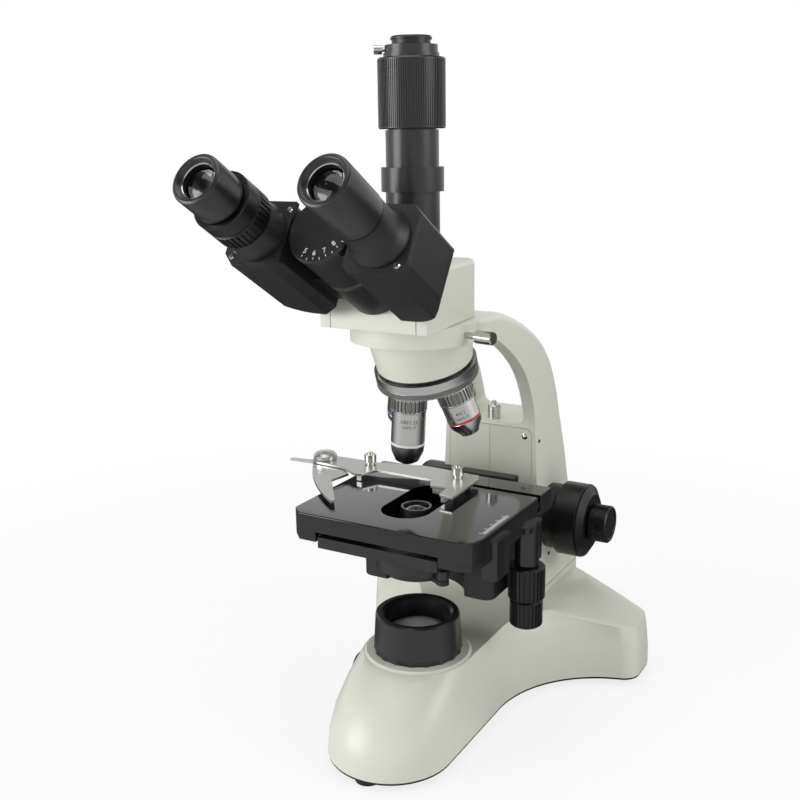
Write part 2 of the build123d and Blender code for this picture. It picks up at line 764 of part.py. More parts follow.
def stage_hole(y0, y1, r):
    """Long hole with round ends, from one arc centre to the other."""
    return Pos(0, (y0 + y1) / 2) * Rot(0, 0, 90) * SlotCenterToCenter(y1 - y0, r)


def stage_plate():
    """Moving stage: thin slab with skirts, a rear beam with the slide holder's slot, and two gibs."""
    plate = Pos(0, 0, skirt_bottom_z) * extrude(stage_outline(0), stage_skirt)
    plate = fillet(plate.faces().sort_by(Axis.Z)[-1].edges(), 0.8)
    inside = extrude(stage_outline(stage_wall), slab_bottom_z - skirt_bottom_z + 1)
    inside -= block(-100, 100, stage_beam_front_y, 100, -1, 20)
    plate -= Pos(0, 0, skirt_bottom_z - 1) * inside
    hole = extrude(stage_hole(stage_slot_front_y, stage_slot_rear_y, 2 * stage_slot_half_width), 20)
    plate -= Pos(0, 0, slab_bottom_z - 5) * hole
    wide = block(-100, 100, rail_slot_y - rail_slot_half_width, rail_slot_y + rail_slot_half_width,
                 rail_bar_bottom_z - slide_gap, rail_bar_bottom_z + 5.5)
    narrow = block(-100, 100, rail_slot_y - rail_slot_half_width + 0.7, rail_slot_y + rail_slot_half_width - 0.7,
                   rail_bar_bottom_z, stage_top_z + 1)
    notch = block(lower_plate_left_x + 3, lower_plate_right_x - 1, stage_front_y - 1, stage_front_y + stage_wall + 1,
                  skirt_bottom_z - 1, skirt_bottom_z + 3)
    boss = block(guide_foot_x + 14.3, boss_outer_x, -24, -2, 131, slab_bottom_z)
    boss = fillet(boss.edges().filter_by(Axis.Z).group_by(Axis.X)[-1], 3)
    plate = plate - wide - narrow - notch + boss
    foot = guide_foot_x + slide_gap + 0.1
    gib = prism_y(stage_front_y + stage_wall, stage_beam_front_y, (foot, skirt_bottom_z),
                  (foot + guide_lean, slab_bottom_z), (54, slab_bottom_z), (54, skirt_bottom_z))
    return plate + both_sides(gib) + stage_drive_housing()


lower_plate_left_x = -56.0
lower_plate_right_x = 46.0
lower_plate_front_y = -36.0
lower_plate_rear_y = 60.0


def stage_base_plate():
    """Fixed plate under the stage, with the two dovetailed guide bars."""
    plate = block(lower_plate_left_x, lower_plate_right_x, lower_plate_front_y, lower_plate_rear_y,
                  lower_plate_bottom_z, lower_plate_top_z)
    plate = fillet(plate.edges().filter_by(Axis.Z), 4)
    high = slab_bottom_z - slide_gap
    guide = prism_y(guide_front_y, guide_rear_y, (guide_inner_x, lower_plate_top_z), (guide_foot_x, lower_plate_top_z),
                    (guide_foot_x + guide_lean, high), (guide_inner_x, high))
    return plate + both_sides(guide) + stage_y_rack() - rod(condenser_radius + 2, 100, 200)


def stage_y_rack():
    """Rack along the fixed plate's right edge."""
    line_x = drive_x - drive_pinion_radius
    depth = line_x - 1.25 * drive_module - lower_plate_right_x
    rack = extrude(rack_outline(drive_module, 46, depth), drive_rack_height)
    centre_y = drive_y - 8 * pi * drive_module
    return Pos(line_x, centre_y, lower_plate_bottom_z) * Rot(0, 0, -90) * rack


drive_module = 0.5
drive_teeth = 20
drive_pinion_radius = drive_module * drive_teeth / 2
drive_rack_height = 2.7
outer_shaft_radius = 4.0
inner_shaft_radius = 2.0
y_knob_low = 96.0
y_knob_high = 119.0
x_knob_low = 77.0
x_knob_radius = 11.0


def stage_bracket():
    """Angle bracket under the stage: hollow shelf with a bay for the condenser, upright and neck."""
    depth = bracket_rear_y - bracket_front_y
    height = lower_plate_bottom_z - bracket_bottom_z
    centre = Pos(0, (bracket_front_y + bracket_rear_y) / 2, bracket_bottom_z)
    shelf = centre * extrude(RectangleRounded(2 * bracket_half_width, depth, 7), height)
    pocket = centre * Pos(0, 0, -1) * extrude(RectangleRounded(2 * bracket_half_width - 12, depth - 12, 3), height - 7)
    shelf -= pocket - rod(bay_radius + 6, 50, 200)
    upright_y = stage_rear_y + stage_back_limit + 1
    upright = block(-bracket_upright_half_width, bracket_upright_half_width, upright_y, upright_y + 10,
                    lower_plate_bottom_z - 10, stage_top_z)
    brace = prism_x(15, 20, (upright_y + 9, lower_plate_bottom_z - 5), (bracket_rear_y - 4, lower_plate_bottom_z - 5),
                    (upright_y + 9, stage_top_z - 4))
    neck = block(-neck_half_width, neck_half_width, bracket_rear_y - 1, carriage_front_y, neck_low, neck_high)
    bracket = shelf + upright + both_sides(brace) + neck - rod(bay_radius, 50, 200)
    return bracket + condenser_carrier()


bay_radius = 31.0
bracket_upright_half_width = 35.0


def stage_drive_housing():
    """Block under the stage's right edge with the sleeve that the drive shafts turn in."""
    top = skirt_bottom_z
    rack_top = lower_plate_bottom_z + drive_rack_height
    plate = block(50, 68, drive_y - 12, drive_y + 12, rack_top + 0.5, top)
    plate = fillet(plate.edges().filter_by(Axis.Z), 3)
    sleeve = rod(drive_shaft_radius, y_knob_high + face_gap, top)
    chamber = rod(drive_pinion_radius + 0.9, lower_plate_bottom_z - 0.4, rack_top + 0.5)
    window = block(-20, -3.7, -20, 20, lower_plate_bottom_z - 0.4, rack_top + 0.5)
    bore = rod(outer_shaft_radius + running_gap, 100, rack_top + 0.6)
    upper_bore = rod(inner_shaft_radius + running_gap, 100, 200)
    return plate + Pos(drive_x, drive_y, 0) * (sleeve - chamber - window - bore) - Pos(drive_x, drive_y, 0) * upper_bore


def y_knob():
    """Upper ribbed knob: moves the stage to and fro."""
    r = drive_knob_radius
    knob = turned((outer_shaft_radius, y_knob_low), (r, y_knob_low), (r, y_knob_high - 1),
                  (r - 1, y_knob_high), (outer_shaft_radius, y_knob_high))
    return Pos(drive_x, drive_y, 0) * grooved(knob, 16, r + 0.2, 1.6, 0.9, y_knob_low - 1, y_knob_high + 1)


def y_shaft():
    """Hollow shaft of the upper knob, with a pinion that has a tooth towards the rack."""
    low = lower_plate_bottom_z
    high = low + drive_rack_height
    shaft = tube(outer_shaft_radius, inner_shaft_radius + running_gap, y_knob_low, high)
    wheel = pinion(drive_module, drive_teeth, low, high, outer_shaft_radius)
    return Pos(drive_x, drive_y, 0) * (shaft + Rot(0, 0, 180) * wheel)


def x_knob():
    """Lower ribbed knob on its inner shaft: moves the slide holder sideways."""
    r = x_knob_radius
    high = y_knob_low - face_gap
    shaft_top = skirt_bottom_z - 0.5
    knob = turned((0, x_knob_low), (r - 1.2, x_knob_low), (r, x_knob_low + 1.2), (r, high - 2), (r - 1, high - 2),
                  (r - 1, high), (inner_shaft_radius, high), (inner_shaft_radius, shaft_top), (0, shaft_top))
    return Pos(drive_x, drive_y, 0) * grooved(knob, 16, r + 0.2, 1.4, 0.8, x_knob_low + 1, high - 3)


# Slide holder
holder_low_z = stage_top_z + holder_lift
holder_high_z = holder_low_z + holder_thickness
jaw_low_z = stage_top_z + 0.4
pivot_radius = 3.0


def slide_holder():
    """Thin plate with two back jaws and the fixed right jaw."""
    outline = make_face(Polyline(
        (-60, 19), (-54.3, 20.3), (-49.3, 32.4), (-6.1, 31.4), (-0.6, 19.9), (11, 20.9), (12.8, 7.5), (23, 5.8),
        (22.2, 46.2), (18.5, 53.9), (-25.7, 56.1), (-55.3, 47.6), (finger_pivot_x, 47.0),
        (finger_pivot_x, 29.0), (-74.7, 27.4), close=True))
    outline += Pos(finger_pivot_x, finger_pivot_y) * Circle(9.0)
    outline -= Pos(finger_pivot_x, finger_pivot_y) * Circle(pivot_radius + running_gap)
    plate = Pos(0, 0, holder_low_z) * extrude(outline, holder_thickness)
    lips = [block(13.5, 16.5, 8, 20.9, jaw_low_z, holder_low_z), block(0.5, 11, 20.9, 24, jaw_low_z, holder_low_z),
            block(-59, -55, 20.9, 24, jaw_low_z, holder_low_z)]
    return plate + lips + slide_bar()


def slide_bar():
    """Bar in the stage's slot, with the post that carries the holder plate."""
    bar = block(-50, 63, rail_slot_y - rail_slot_half_width + slide_gap, rail_slot_y + rail_slot_half_width - slide_gap,
                rail_bar_bottom_z, rail_bar_bottom_z + 5.2)
    post = block(-24, 16, rail_slot_y - 2, rail_slot_y + 2, rail_bar_bottom_z + 5.2, holder_low_z)
    return bar + post


def holder_screws():
    """Two knurled thumb nuts on the holder plate."""
    nut = turned((0, 0), (3.0, 0), (3.0, 1.3), (4.2, 1.3), (4.2, 6.8), (1.8, 6.8), (1.8, 8.2), (0, 8.2))
    return [Pos(x, y, holder_high_z) * nut for x, y in ((-61.1, 43.1), (6.9, 45.4))]


def holder_finger():
    """Curved lever under the holder plate that presses on the slide's left edge."""
    tail = (finger_pivot_x - 27, finger_pivot_y - 6)
    tip = (-46, -31)
    outer = ThreePointArc((-103, 33), (-85, 6), tip)
    inner = ThreePointArc((-44, -29), (-60.5, -6.5), (-69, 5))
    outline = make_face([
        outer, Line(tip, (-44, -29)), inner, Line((-69, 5), (-66, 22)), Line((-66, 22), (-88, 40)),
        Line((-88, 40), (tail[0], tail[1] + 2.4)), Line((tail[0], tail[1] + 2.4), tail), Line(tail, (-103, 33))])
    outline += Pos(finger_pivot_x, finger_pivot_y) * Circle(7.0)
    low = holder_low_z - slide_gap - 1.6
    plate = Pos(0, 0, low) * extrude(outline, 1.6)
    pad = Pos(-56, -15, 0) * rod(1.8, jaw_low_z, low)
    return plate + pad + finger_button()


def finger_button():
    """Round button on the finger's pivot pin."""
    low = holder_low_z - slide_gap
    z = holder_high_z + slide_gap
    pin = rod(pivot_radius, low, z + 0.5)
    cap = turned((0, z), (8.2, z), (8.2, z + 2.8), (6.6, z + 4.6), (0, z + 5.4))
    return Pos(finger_pivot_x, finger_pivot_y, 0) * (pin + cap)


# Condenser
iris_height = 9.0
iris_top_z = condenser_bottom_z + iris_height
iris_slot_low = condenser_bottom_z + 3.2
iris_slot_high = iris_slot_low + 2.6
condenser_bore = 14.0
condenser_tip_radius = stage_slot_rear_y - stage_forward_limit + stage_slot_half_width - slide_gap
condenser_lens_radius = 8.5
# The rear beam of the stage passes this close when the stage is fully forward.
condenser_shoulder_radius = stage_beam_front_y - stage_forward_limit - slide_gap
filter_pivot_radius = 31.5
filter_pivot_deg = -30.0
filter_low_z = 117.5
filter_high_z = condenser_bottom_z - face_gap


def condenser_carrier():
    """Ring in the bracket's bay that the condenser slides in, with its clamp lug."""
    low = iris_top_z + 2
    high = lower_plate_bottom_z - 1
    ring = rod(condenser_radius + 5, low, high)
    lug = block(-14, 14, condenser_radius, bay_radius + 5, low, high) & rod(bay_radius, low, high)
    return ring + lug - rod(condenser_radius, 50, 200)


def condenser_body():
    """Condenser with its iris housing and tapering top."""
    r = condenser_radius - running_gap
    body = turned((condenser_bore, condenser_bottom_z), (iris_radius, condenser_bottom_z), (iris_radius, iris_top_z),
                  (r, iris_top_z), (r, skirt_bottom_z - 1.5), (condenser_shoulder_radius, skirt_bottom_z - face_gap),
                  (condenser_tip_radius, slab_bottom_z - face_gap),
                  (condenser_tip_radius - 0.7, condenser_top_z), (condenser_lens_radius, condenser_top_z),
                  (condenser_lens_radius, 150), (condenser_bore, 144))
    race = tube(iris_radius - 2.6, condenser_bore - 1, iris_slot_low, iris_slot_high)
    slot = race_slot(iris_radius + 2, iris_slot_low, iris_slot_high, 186, 32)
    pivot = polar(filter_pivot_radius, filter_pivot_deg)
    ear = Pos(pivot[0], pivot[1], 0) * rod(3.8, condenser_bottom_z, iris_top_z - 3)
    ear += Rot(0, 0, filter_pivot_deg) * block(iris_radius - 4, filter_pivot_radius, -3, 3, condenser_bottom_z,
                                               iris_top_z - 3)
    return body + ear - race - slot - Pos(pivot[0], pivot[1], 0) * rod(1.6 + running_gap, 100, 200)


def polar(r, angle):
    """Point at a radius and an angle in degrees."""
    return (r * cos(radians(angle)), r * sin(radians(angle)))


def race_slot(r, low, high, middle_deg, half_deg):
    """Wedge-shaped cut about Z for a lever that swings."""
    far = r / cos(radians(half_deg))
    wedge = make_face(Polyline((0, 0), polar(far, middle_deg - half_deg), polar(far, middle_deg + half_deg),
                               close=True))
    return Pos(0, 0, low) * extrude(wedge, high - low)


def iris_lever():
    """Thin ring inside the iris housing with the lever and its ball."""
    low = iris_slot_low + 0.4
    high = iris_slot_high - 0.4
    ring = tube(iris_radius - 3.2, condenser_bore + 1, low, high)
    arm = block(-iris_radius - 5, -iris_radius + 5, -1.8, 1.8, low, high)
    ball = Pos(-iris_radius - 6.5, 0, (low + high) / 2) * Sphere(2.6)
    return Rot(0, 0, 6) * (ring + arm + ball)


def condenser_lens():
    """Upper lens of the condenser."""
    return lens(condenser_lens_radius, condenser_top_z - 6, 3, 2.8)


def filter_holder():
    """Swing-out ring under the iris, on a pin in the housing's ear."""
    pivot = polar(filter_pivot_radius, filter_pivot_deg)
    ring = turned((17, filter_low_z), (21.5, filter_low_z), (21.5, filter_high_z), (19, filter_high_z),
                  (19, filter_low_z + 2), (17, filter_low_z + 2))
    strap = Rot(0, 0, filter_pivot_deg) * block(20.5, filter_pivot_radius, -3.5, 3.5, filter_low_z + 1, filter_high_z)
    lug = Pos(pivot[0], pivot[1], 0) * rod(4, filter_low_z + 1, filter_high_z)
    pin = Pos(pivot[0], pivot[1], 0) * rod(1.6, filter_high_z, iris_top_z - 3)
    return ring + strap + lug + pin


def filter_glass():
    """Blue glass disc in the swing-out ring."""
    return rod(19, filter_low_z + 2, filter_low_z + 4)


# Nosepiece, drawn about its own axis with the face of the drum at height zero
seat_ring_hole_radius = 17.7
seat_drop = 57.2 + boss_height


def objective_place(turn, drop):
    """Frame of one objective seat: Z runs up along the objective, zero is at the drop below the apex."""
    return nose_frame * Pos(0, 0, apex) * Rot(0, 0, turn) * Rot(-nose_tilt, 0, 0) * Pos(0, 0, -drop)


def seat_turns():
    """The four seats round the nosepiece, starting with the one in use."""
    return [nose_turn_shown + 90 * i for i in range(4)]


def nose_turret():
    """Turning nosepiece with a knurled band and four seats for the objectives."""
    top = -turret_drop
    r = turret_radius
    bottom = top - turret_height
    body = turned((0, top), (r, top), (r, top - 3.2), (r - 0.8, top - 3.8), (r - 0.3, bottom + 1.2),
                  (r - 4, bottom), (0, bottom))
    frame_up = nose_frame.inverse()
    for turn in seat_turns():
        body += frame_up * objective_place(turn, seat_drop) * rod(boss_radius, 0, boss_height + 5)
    body -= rod(r + 9, top, top + 30)
    for turn in seat_turns():
        body -= frame_up * objective_place(turn, seat_drop) * rod(objective_bore_radius, -1, 40)
    body -= rod(nose_pivot_radius + running_gap, bottom - 9, top + 1) + rod(8.3, bottom - 9, bottom)
    return nose_frame * body


objective_bore_radius = 8.0


def objective(turn, barrel, ring, cone, cone_end, tip):
    """An objective that hangs from its seat: thread, grip, barrel, coloured ring groove, cone and tip."""
    r = objective_radius
    z1 = -objective_grip_length
    z2 = z1 - barrel
    z3 = z2 - ring
    z4 = z3 - cone
    body = turned((objective_bore_radius - 3, 4), (objective_bore_radius, 4), (objective_bore_radius, 0),
                  (objective_grip_radius, 0), (objective_grip_radius, z1), (r, z1), (r, z2), (r - 0.4, z2),
                  (r - 0.4, z3), (cone_end, z4), (tip, z4 - 2), (objective_bore_radius - 3, z4 - 2))
    return objective_place(turn, seat_drop) * body


def objective_ring(turn, barrel, ring):
    """Coloured magnification ring that sits in an objective's groove."""
    z2 = -objective_grip_length - barrel
    return objective_place(turn, seat_drop) * tube(objective_radius + 0.1, objective_radius - 0.4, z2 - ring, z2)


# Viewing head
head_low_z = seat_top_z + slide_gap
head_bore_radius = 12.0
spindle_front = -4.0
dial_radius = 19.5


def head_body():
    """Painted head: tapered in plan, with a leaning front that carries the eyepiece hinge."""
    plan = make_face(Polyline((-head_half_width, head_front_y), (head_half_width, head_front_y),
                              (head_half_width_rear, head_rear_y), (-head_half_width_rear, head_rear_y), close=True))
    body = Pos(0, 0, head_low_z) * extrude(plan, head_top_z - head_low_z)
    body = fillet(body.edges().filter_by(Axis.Z).group_by(Axis.Y)[-1], 8)
    face_top_y = head_front_y + (head_top_z - head_band_top_z) * tan(tilt)
    front = prism_x(-60, 60, (head_front_y - 5, head_band_top_z), (head_front_y, head_band_top_z),
                    (face_top_y, head_top_z), (face_top_y, head_top_z + 5), (head_front_y - 5, head_top_z + 5))
    body -= front
    top = [e for e in body.edges().filter_by(Axis.Z, reverse=True) if e.center().Z > head_top_z - 0.1]
    body = fillet(top, 3)
    body += hinge_frame * rod(spindle_radius + 6, -head_face_distance - 6, -head_face_distance + 0.3)
    return body - rod(head_bore_radius, 250, 350)


def head_dovetail():
    """Ring under the head that turns in the arm's seat."""
    low = seat_top_z - dovetail_depth
    return turned((head_bore_radius, low), (dovetail_radius, low), (dovetail_radius - 1.5, head_low_z),
                  (head_bore_radius, head_low_z))


def head_spindle():
    """Spindle that the two prism boxes turn on, with the bright washer between them."""
    spindle = rod(spindle_radius, -head_face_distance + 0.3, spindle_front)
    return hinge_frame * (spindle + tube(hub_radius - 0.5, spindle_radius, hub_ring_end, front_hub_end - slide_gap))


def scale_dial():
    """Front disc of the hinge with its eye distance marks."""
    dial = turned((0, spindle_front), (dial_radius, spindle_front), (dial_radius, -1), (dial_radius - 1, 0), (0, 0))
    return hinge_frame * dial


front_hub_end = -33.0
hub_ring_end = -36.0


def prism_box(side):
    """Shaped box with its half of the hinge: open at the front, with a large round corner at the back."""
    wall = plate_thickness
    front = -plate_thickness
    back = -box_length
    outline = make_face(Polyline((box_inner_x, box_low + 5), (box_inner_x + 5, box_low), (box_outer_x - 7, box_low),
                                 (box_outer_x, box_low + 7), (box_outer_x, box_high - 4),
                                 (box_outer_x - 4, box_high), (box_inner_x + 3, box_high),
                                 (box_inner_x, box_high - 3), close=True))
    body = Pos(0, 0, back) * extrude(outline, front - back)
    r = box_back_radius
    corner = block(box_outer_x - r, box_outer_x + 5, box_low - 5, box_high + 5, back - 5, back + r)
    corner -= Pos(box_outer_x - r, 0, back + r) * Rot(90, 0, 0) * Cylinder(r, 100)
    body -= corner
    space = block(box_inner_x + wall, box_outer_x - wall, box_low + wall + 2, box_high - wall, back + 22, front + 1)
    body -= space
    if side > 0:
        low, high = front_hub_end, spindle_front - face_gap
    else:
        low, high = -head_face_distance + 1, hub_ring_end - slide_gap
    hub = rod(hub_radius, low, high)
    web_low = max(low, back)
    web = block(hub_radius * 0.5, box_inner_x + 1, -13, 11, web_low, min(high, front))
    body = body + hub + web - rod(spindle_radius + running_gap, -100, 10)
    return hinge_frame * (body if side > 0 else mirror(body, Plane.YZ))


def prism_plate(side):
    """Front plate of a prism box with its hole for the eye tube."""
    plate = Pos(0, 0, -plate_thickness) * extrude(make_face(Polyline(
        (box_inner_x, box_low + 4), (box_inner_x + 4, box_low), (box_outer_x - 7, box_low), (box_outer_x, box_low + 7),
        (box_outer_x, box_high - 4), (box_outer_x - 4, box_high), (box_inner_x, box_high), close=True)),
        plate_thickness)
    plate -= Pos(eye_spacing / 2, -eye_drop, 0) * rod(eyepiece_tube_radius + 1.5, -10, 10)
    return hinge_frame * (plate if side > 0 else mirror(plate, Plane.YZ))


def plate_screws(side):
    """Two small bright screws in a front plate."""
    screw = turned((0, 0), (1.9, 0), (1.4, 0.8), (0, 0.9))
    places = ((box_inner_x + 3, box_high - 5), (box_outer_x - 5, box_low + 5.5))
    return [hinge_frame * Pos(side * x, y, 0) * screw for x, y in places]


def eye_tube(side):
    """Fixed tube on a front plate; the left one is longer and carries the focus ring."""
    bore = eyepiece_tube_radius + running_gap
    if side > 0:
        profile = [(bore, -plate_thickness), (bore + 1.4, -plate_thickness), (bore + 1.4, 0), (17.2, 0), (17.2, 2),
                   (14.0, 7), (14.0, 24.5), (bore, 24.5)]
    else:
        profile = [(bore, -plate_thickness), (bore + 1.4, -plate_thickness), (bore + 1.4, 0), (17.2, 0), (17.2, 2),
                   (15.4, 14.4), (13.0, 14.4), (13.0, 37), (bore, 37)]
    return eye_place(side) * turned(*profile) + prism_plate(side)


def eye_place(side):
    """Frame of an eyepiece: Z runs towards the eye, zero is at the front plate."""
    return hinge_frame * Pos(side * eye_spacing / 2, -eye_drop, 0)


def diopter_ring():
    """Ribbed ring on the left eye tube."""
    ring = turned((13.05, 15), (17.2, 15), (17.2, 26), (16.2, 27), (17.2, 28), (17.2, 37), (13.05, 37))
    ring = grooved(ring, 16, 17.4, 1.6, 0.9, 15, 25.5)
    return eye_place(-1) * ring


def eyepiece(side):
    """Eyepiece: barrel in the tube, body and dished front."""
    low = 25.0 if side > 0 else 37.6
    r = eyepiece_tube_radius
    top = eye_front_distance
    profile = turned((9.5, -14), (r, -14), (r, low), (eyepiece_radius, low), (eyepiece_radius, top - 1.2),
                     (eyepiece_radius - 1.2, top), (11.5, top), (9.5, top - 3), (9.5, top - 8), (8.0, top - 8),
                     (8.0, top - 12), (9.5, top - 12))
    return eye_place(side) * profile


def eye_lens(side):
    """Eye lens behind the dished front."""
    return eye_place(side) * lens(9.5, eye_front_distance - 8, 2, 2.4)


# Photo tube
focus_ring_high = adapter_z + adapter_length
adapter_top_z = focus_ring_high + adapter_top_height


def photo_tube():
    """Upright tube on the head with its collar and the camera adapter's fixed tube."""
    top = photo_collar_z + photo_collar_height
    return turned((head_bore_radius, head_top_z), (photo_tube_radius + 1.5, head_top_z),
                  (photo_tube_radius + 1.5, head_top_z + 3), (photo_tube_radius, head_top_z + 3),
                  (photo_tube_radius, photo_collar_z), (photo_collar_radius, photo_collar_z),
                  (photo_collar_radius, top), (head_bore_radius, top)) + adapter_core()


def adapter_core():
    """Camera tube that stands in the collar and carries the focus ring and the top."""
    low = photo_collar_z + photo_collar_height
    step = focus_ring_high + 2.5
    return turned((10.5, low), (adapter_tube_radius, low),
                  (adapter_tube_radius, adapter_z - face_gap), (14.5, adapter_z - face_gap),
                  (14.5, focus_ring_high + slide_gap), (16.4, focus_ring_high + slide_gap), (16.4, step),
                  (15.6, step), (15.6, adapter_top_z), (10.5, adapter_top_z)) - adapter_screw_place() * rod(1.2, 9, 20)


def adapter_focus_ring():
    """Knurled focusing ring of the camera adapter."""
    r = adapter_radius
    z0, z1 = adapter_z, focus_ring_high
    return turned((14.55, z0), (r - 0.8, z0), (r, z0 + 1), (r, z1 - 1), (r - 0.8, z1), (14.55, z1))


def dust_cap():
    """Push-in cap on the camera port."""
    z = adapter_top_z
    rim = overall_height - 2
    return turned((0, z + 2), (8.5, z + 2), (8.5, z - 4), (10.45, z - 4), (10.45, z + face_gap),
                  (cap_radius - 0.8, z + face_gap), (cap_radius - 0.8, rim), (cap_radius, rim),
                  (cap_radius, overall_height - 0.8), (cap_radius - 0.8, overall_height), (0, overall_height))


def adapter_screw_place():
    """Frame of the clamp screw: Z runs outwards, to the front left."""
    return Pos(0, 0, focus_ring_high + 4.6) * Rot(0, 0, 210) * Rot(0, 90, 0)


def adapter_screw():
    """Small nickel clamp screw at the side of the adapter's top."""
    return adapter_screw_place() * turned((0, 12), (1.2, 12), (1.2, 17), (2.6, 17), (2.6, 21.8), (0, 21.8))


objectives = {
    "objective_100x": (21.5, 1.5, 11.0, 7.5, 4.0),
    "objective_4x": (12.0, 1.2, 8.0, 7.0, 6.0),
    "objective_10x": (14.0, 1.2, 10.5, 6.5, 5.2),
    "objective_40x": (20.0, 1.2, 11.0, 6.5, 4.6),
}

save("base_casting", base_casting())
save("base_cover_plate", cover_plate())
save("rubber_feet", rubber_foot(0, front_foot_y), rubber_foot(-rear_foot_x, rear_foot_y),
     rubber_foot(rear_foot_x, rear_foot_y))
save("illuminator_collar", illuminator_collar())
save("field_lens", field_lens())
save("lamp_holder", lamp_holder())
save("lamp_bulb", lamp_bulb())
save("rear_panel", rear_panel(), power_inlet(), switch_frame())
save("switch_rocker", switch_rocker())
save("brightness_dial", brightness_dial())

save("arm_casting", arm_casting())
save("column_cover", *column_covers())
save("column_screws", *column_cover_screws(), stage_stop_screw())
save("column_rails", *column_rails())
save("focus_flanges", *focus_flanges())
save("coarse_knobs", *coarse_knobs())
save("coarse_shaft", coarse_shaft())
save("fine_knobs", *fine_knobs())

save("stage_carriage", stage_carriage())
save("stage_bracket", stage_bracket())
save("stage_base_plate", stage_base_plate())
save("stage_plate", stage_plate())
save("y_drive_knob", y_knob())
save("y_drive_shaft", y_shaft())
save("x_drive_knob", x_knob())
save("slide_holder", slide_holder())
save("holder_screws", *holder_screws())
save("holder_finger", holder_finger())

save("condenser_body", condenser_body())
save("condenser_lens", condenser_lens())
save("iris_lever", iris_lever())
save("filter_holder", filter_holder())
save("filter_glass", filter_glass())

save("nose_housing", nose_housing())
save("nose_bearing", *nose_bearing())
save("nose_turret", nose_turret())
for (name, sizes), turn in zip(objectives.items(), seat_turns()):
    save(name, objective(turn, *sizes))
save("objective_rings", *[objective_ring(turn, sizes[0], sizes[1])
                          for sizes, turn in zip(objectives.values(), seat_turns())])
save("head_lock_screw", head_lock_screw())

save("head_body", head_body())
save("head_fittings", head_dovetail(), head_spindle())
save("scale_dial", scale_dial())
for hand, side in (("left", -1), ("right", 1)):
    save(f"prism_box_{hand}", prism_box(side))
    save(f"plate_screws_{hand}", *plate_screws(side))
    save(f"eye_tube_{hand}", eye_tube(side))
    save(f"eyepiece_{hand}", eyepiece(side))
    save(f"eye_lens_{hand}", eye_lens(side))
save("diopter_ring", diopter_ring())
save("photo_tube", photo_tube())
save("adapter_focus_ring", adapter_focus_ring())
save("dust_cap", dust_cap())
save("adapter_screw", adapter_screw())
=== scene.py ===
"""Looks of a trinocular laboratory microscope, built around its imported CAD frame.

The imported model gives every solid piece. This file dresses those pieces, adds the fine
work that is too small for the CAD source, and sets up a plain pale studio.
Lengths are in millimetres, with the optical axis at x = 0 and y = 0 and the table at
z = 0, as in the part's source, until a piece is placed.
"""

from __future__ import annotations

import logging
import math
from dataclasses import dataclass
from enum import Enum
from typing import Any, ClassVar, Sequence

import bmesh
import bpy
from mathutils import Matrix, Vector

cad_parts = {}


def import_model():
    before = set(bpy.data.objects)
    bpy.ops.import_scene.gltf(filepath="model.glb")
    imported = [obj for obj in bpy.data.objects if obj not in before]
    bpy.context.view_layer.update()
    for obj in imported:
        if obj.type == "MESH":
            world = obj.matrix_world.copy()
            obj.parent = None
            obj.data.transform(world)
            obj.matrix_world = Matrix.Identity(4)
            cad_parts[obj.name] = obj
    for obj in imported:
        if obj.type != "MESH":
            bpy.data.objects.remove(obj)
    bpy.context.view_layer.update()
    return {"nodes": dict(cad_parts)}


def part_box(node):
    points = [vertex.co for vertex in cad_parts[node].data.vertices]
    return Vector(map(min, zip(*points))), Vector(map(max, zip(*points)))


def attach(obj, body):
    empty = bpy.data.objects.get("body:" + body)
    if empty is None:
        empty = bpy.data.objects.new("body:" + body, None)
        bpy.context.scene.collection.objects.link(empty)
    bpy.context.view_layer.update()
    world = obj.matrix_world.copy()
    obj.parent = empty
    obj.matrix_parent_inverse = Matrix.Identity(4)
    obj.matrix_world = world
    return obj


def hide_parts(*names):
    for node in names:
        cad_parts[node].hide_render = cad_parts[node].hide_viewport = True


MM = 0.001
WHITE = (1.0, 1.0, 1.0, 1.0)
OPTICAL_AXIS = Vector((5.37, -17.43, 0.0))

log = logging.getLogger("microscope")

Place = tuple[float, float, float]
Outline = Sequence[tuple[float, float]]


def linear(hex_colour: str, alpha: float = 1.0) -> tuple[float, float, float, float]:
    """Turns an sRGB hex colour into Blender's linear colour.

    Args:
        hex_colour: Six hex digits, such as "dedccb".
        alpha: Opacity, kept as it is.

    Returns:
        Linear red, green, blue and alpha.
    """
    channels = [int(hex_colour[i:i + 2], 16) / 255 for i in (0, 2, 4)]
    red, green, blue = (
        c / 12.92 if c <= 0.04045 else ((c + 0.055) / 1.055) ** 2.4 for c in channels)
    return red, green, blue, alpha


def add_node(tree: bpy.types.NodeTree, kind: str, settings: dict[str | int, Any] | None = None,
             links: dict[str | int, bpy.types.NodeSocket] | None = None) -> bpy.types.Node:
    """Adds one shader node, sets it and links its inputs.

    Args:
        tree: The node tree of a material or world.
        kind: Blender's name for the node.
        settings: Values by the name of a property, or of an input socket or its number.
        links: Output sockets by the name or number of the input that they feed.

    Returns:
        The new node.
    """
    node = tree.nodes.new(kind)
    for name, value in (settings or {}).items():
        if isinstance(name, int) or name in node.inputs:
            node.inputs[name].default_value = value
        else:
            setattr(node, name, value)
    for name, socket in (links or {}).items():
        tree.links.new(socket, node.inputs[name])
    return node


@dataclass(frozen=True)
class Relief:
    """A fine relief in a finish: the size of its grain and how much it stands up."""

    grain_mm: float
    height_mm: float
    stretch: Place = (1.0, 1.0, 1.0)
    detail: float = 2.0


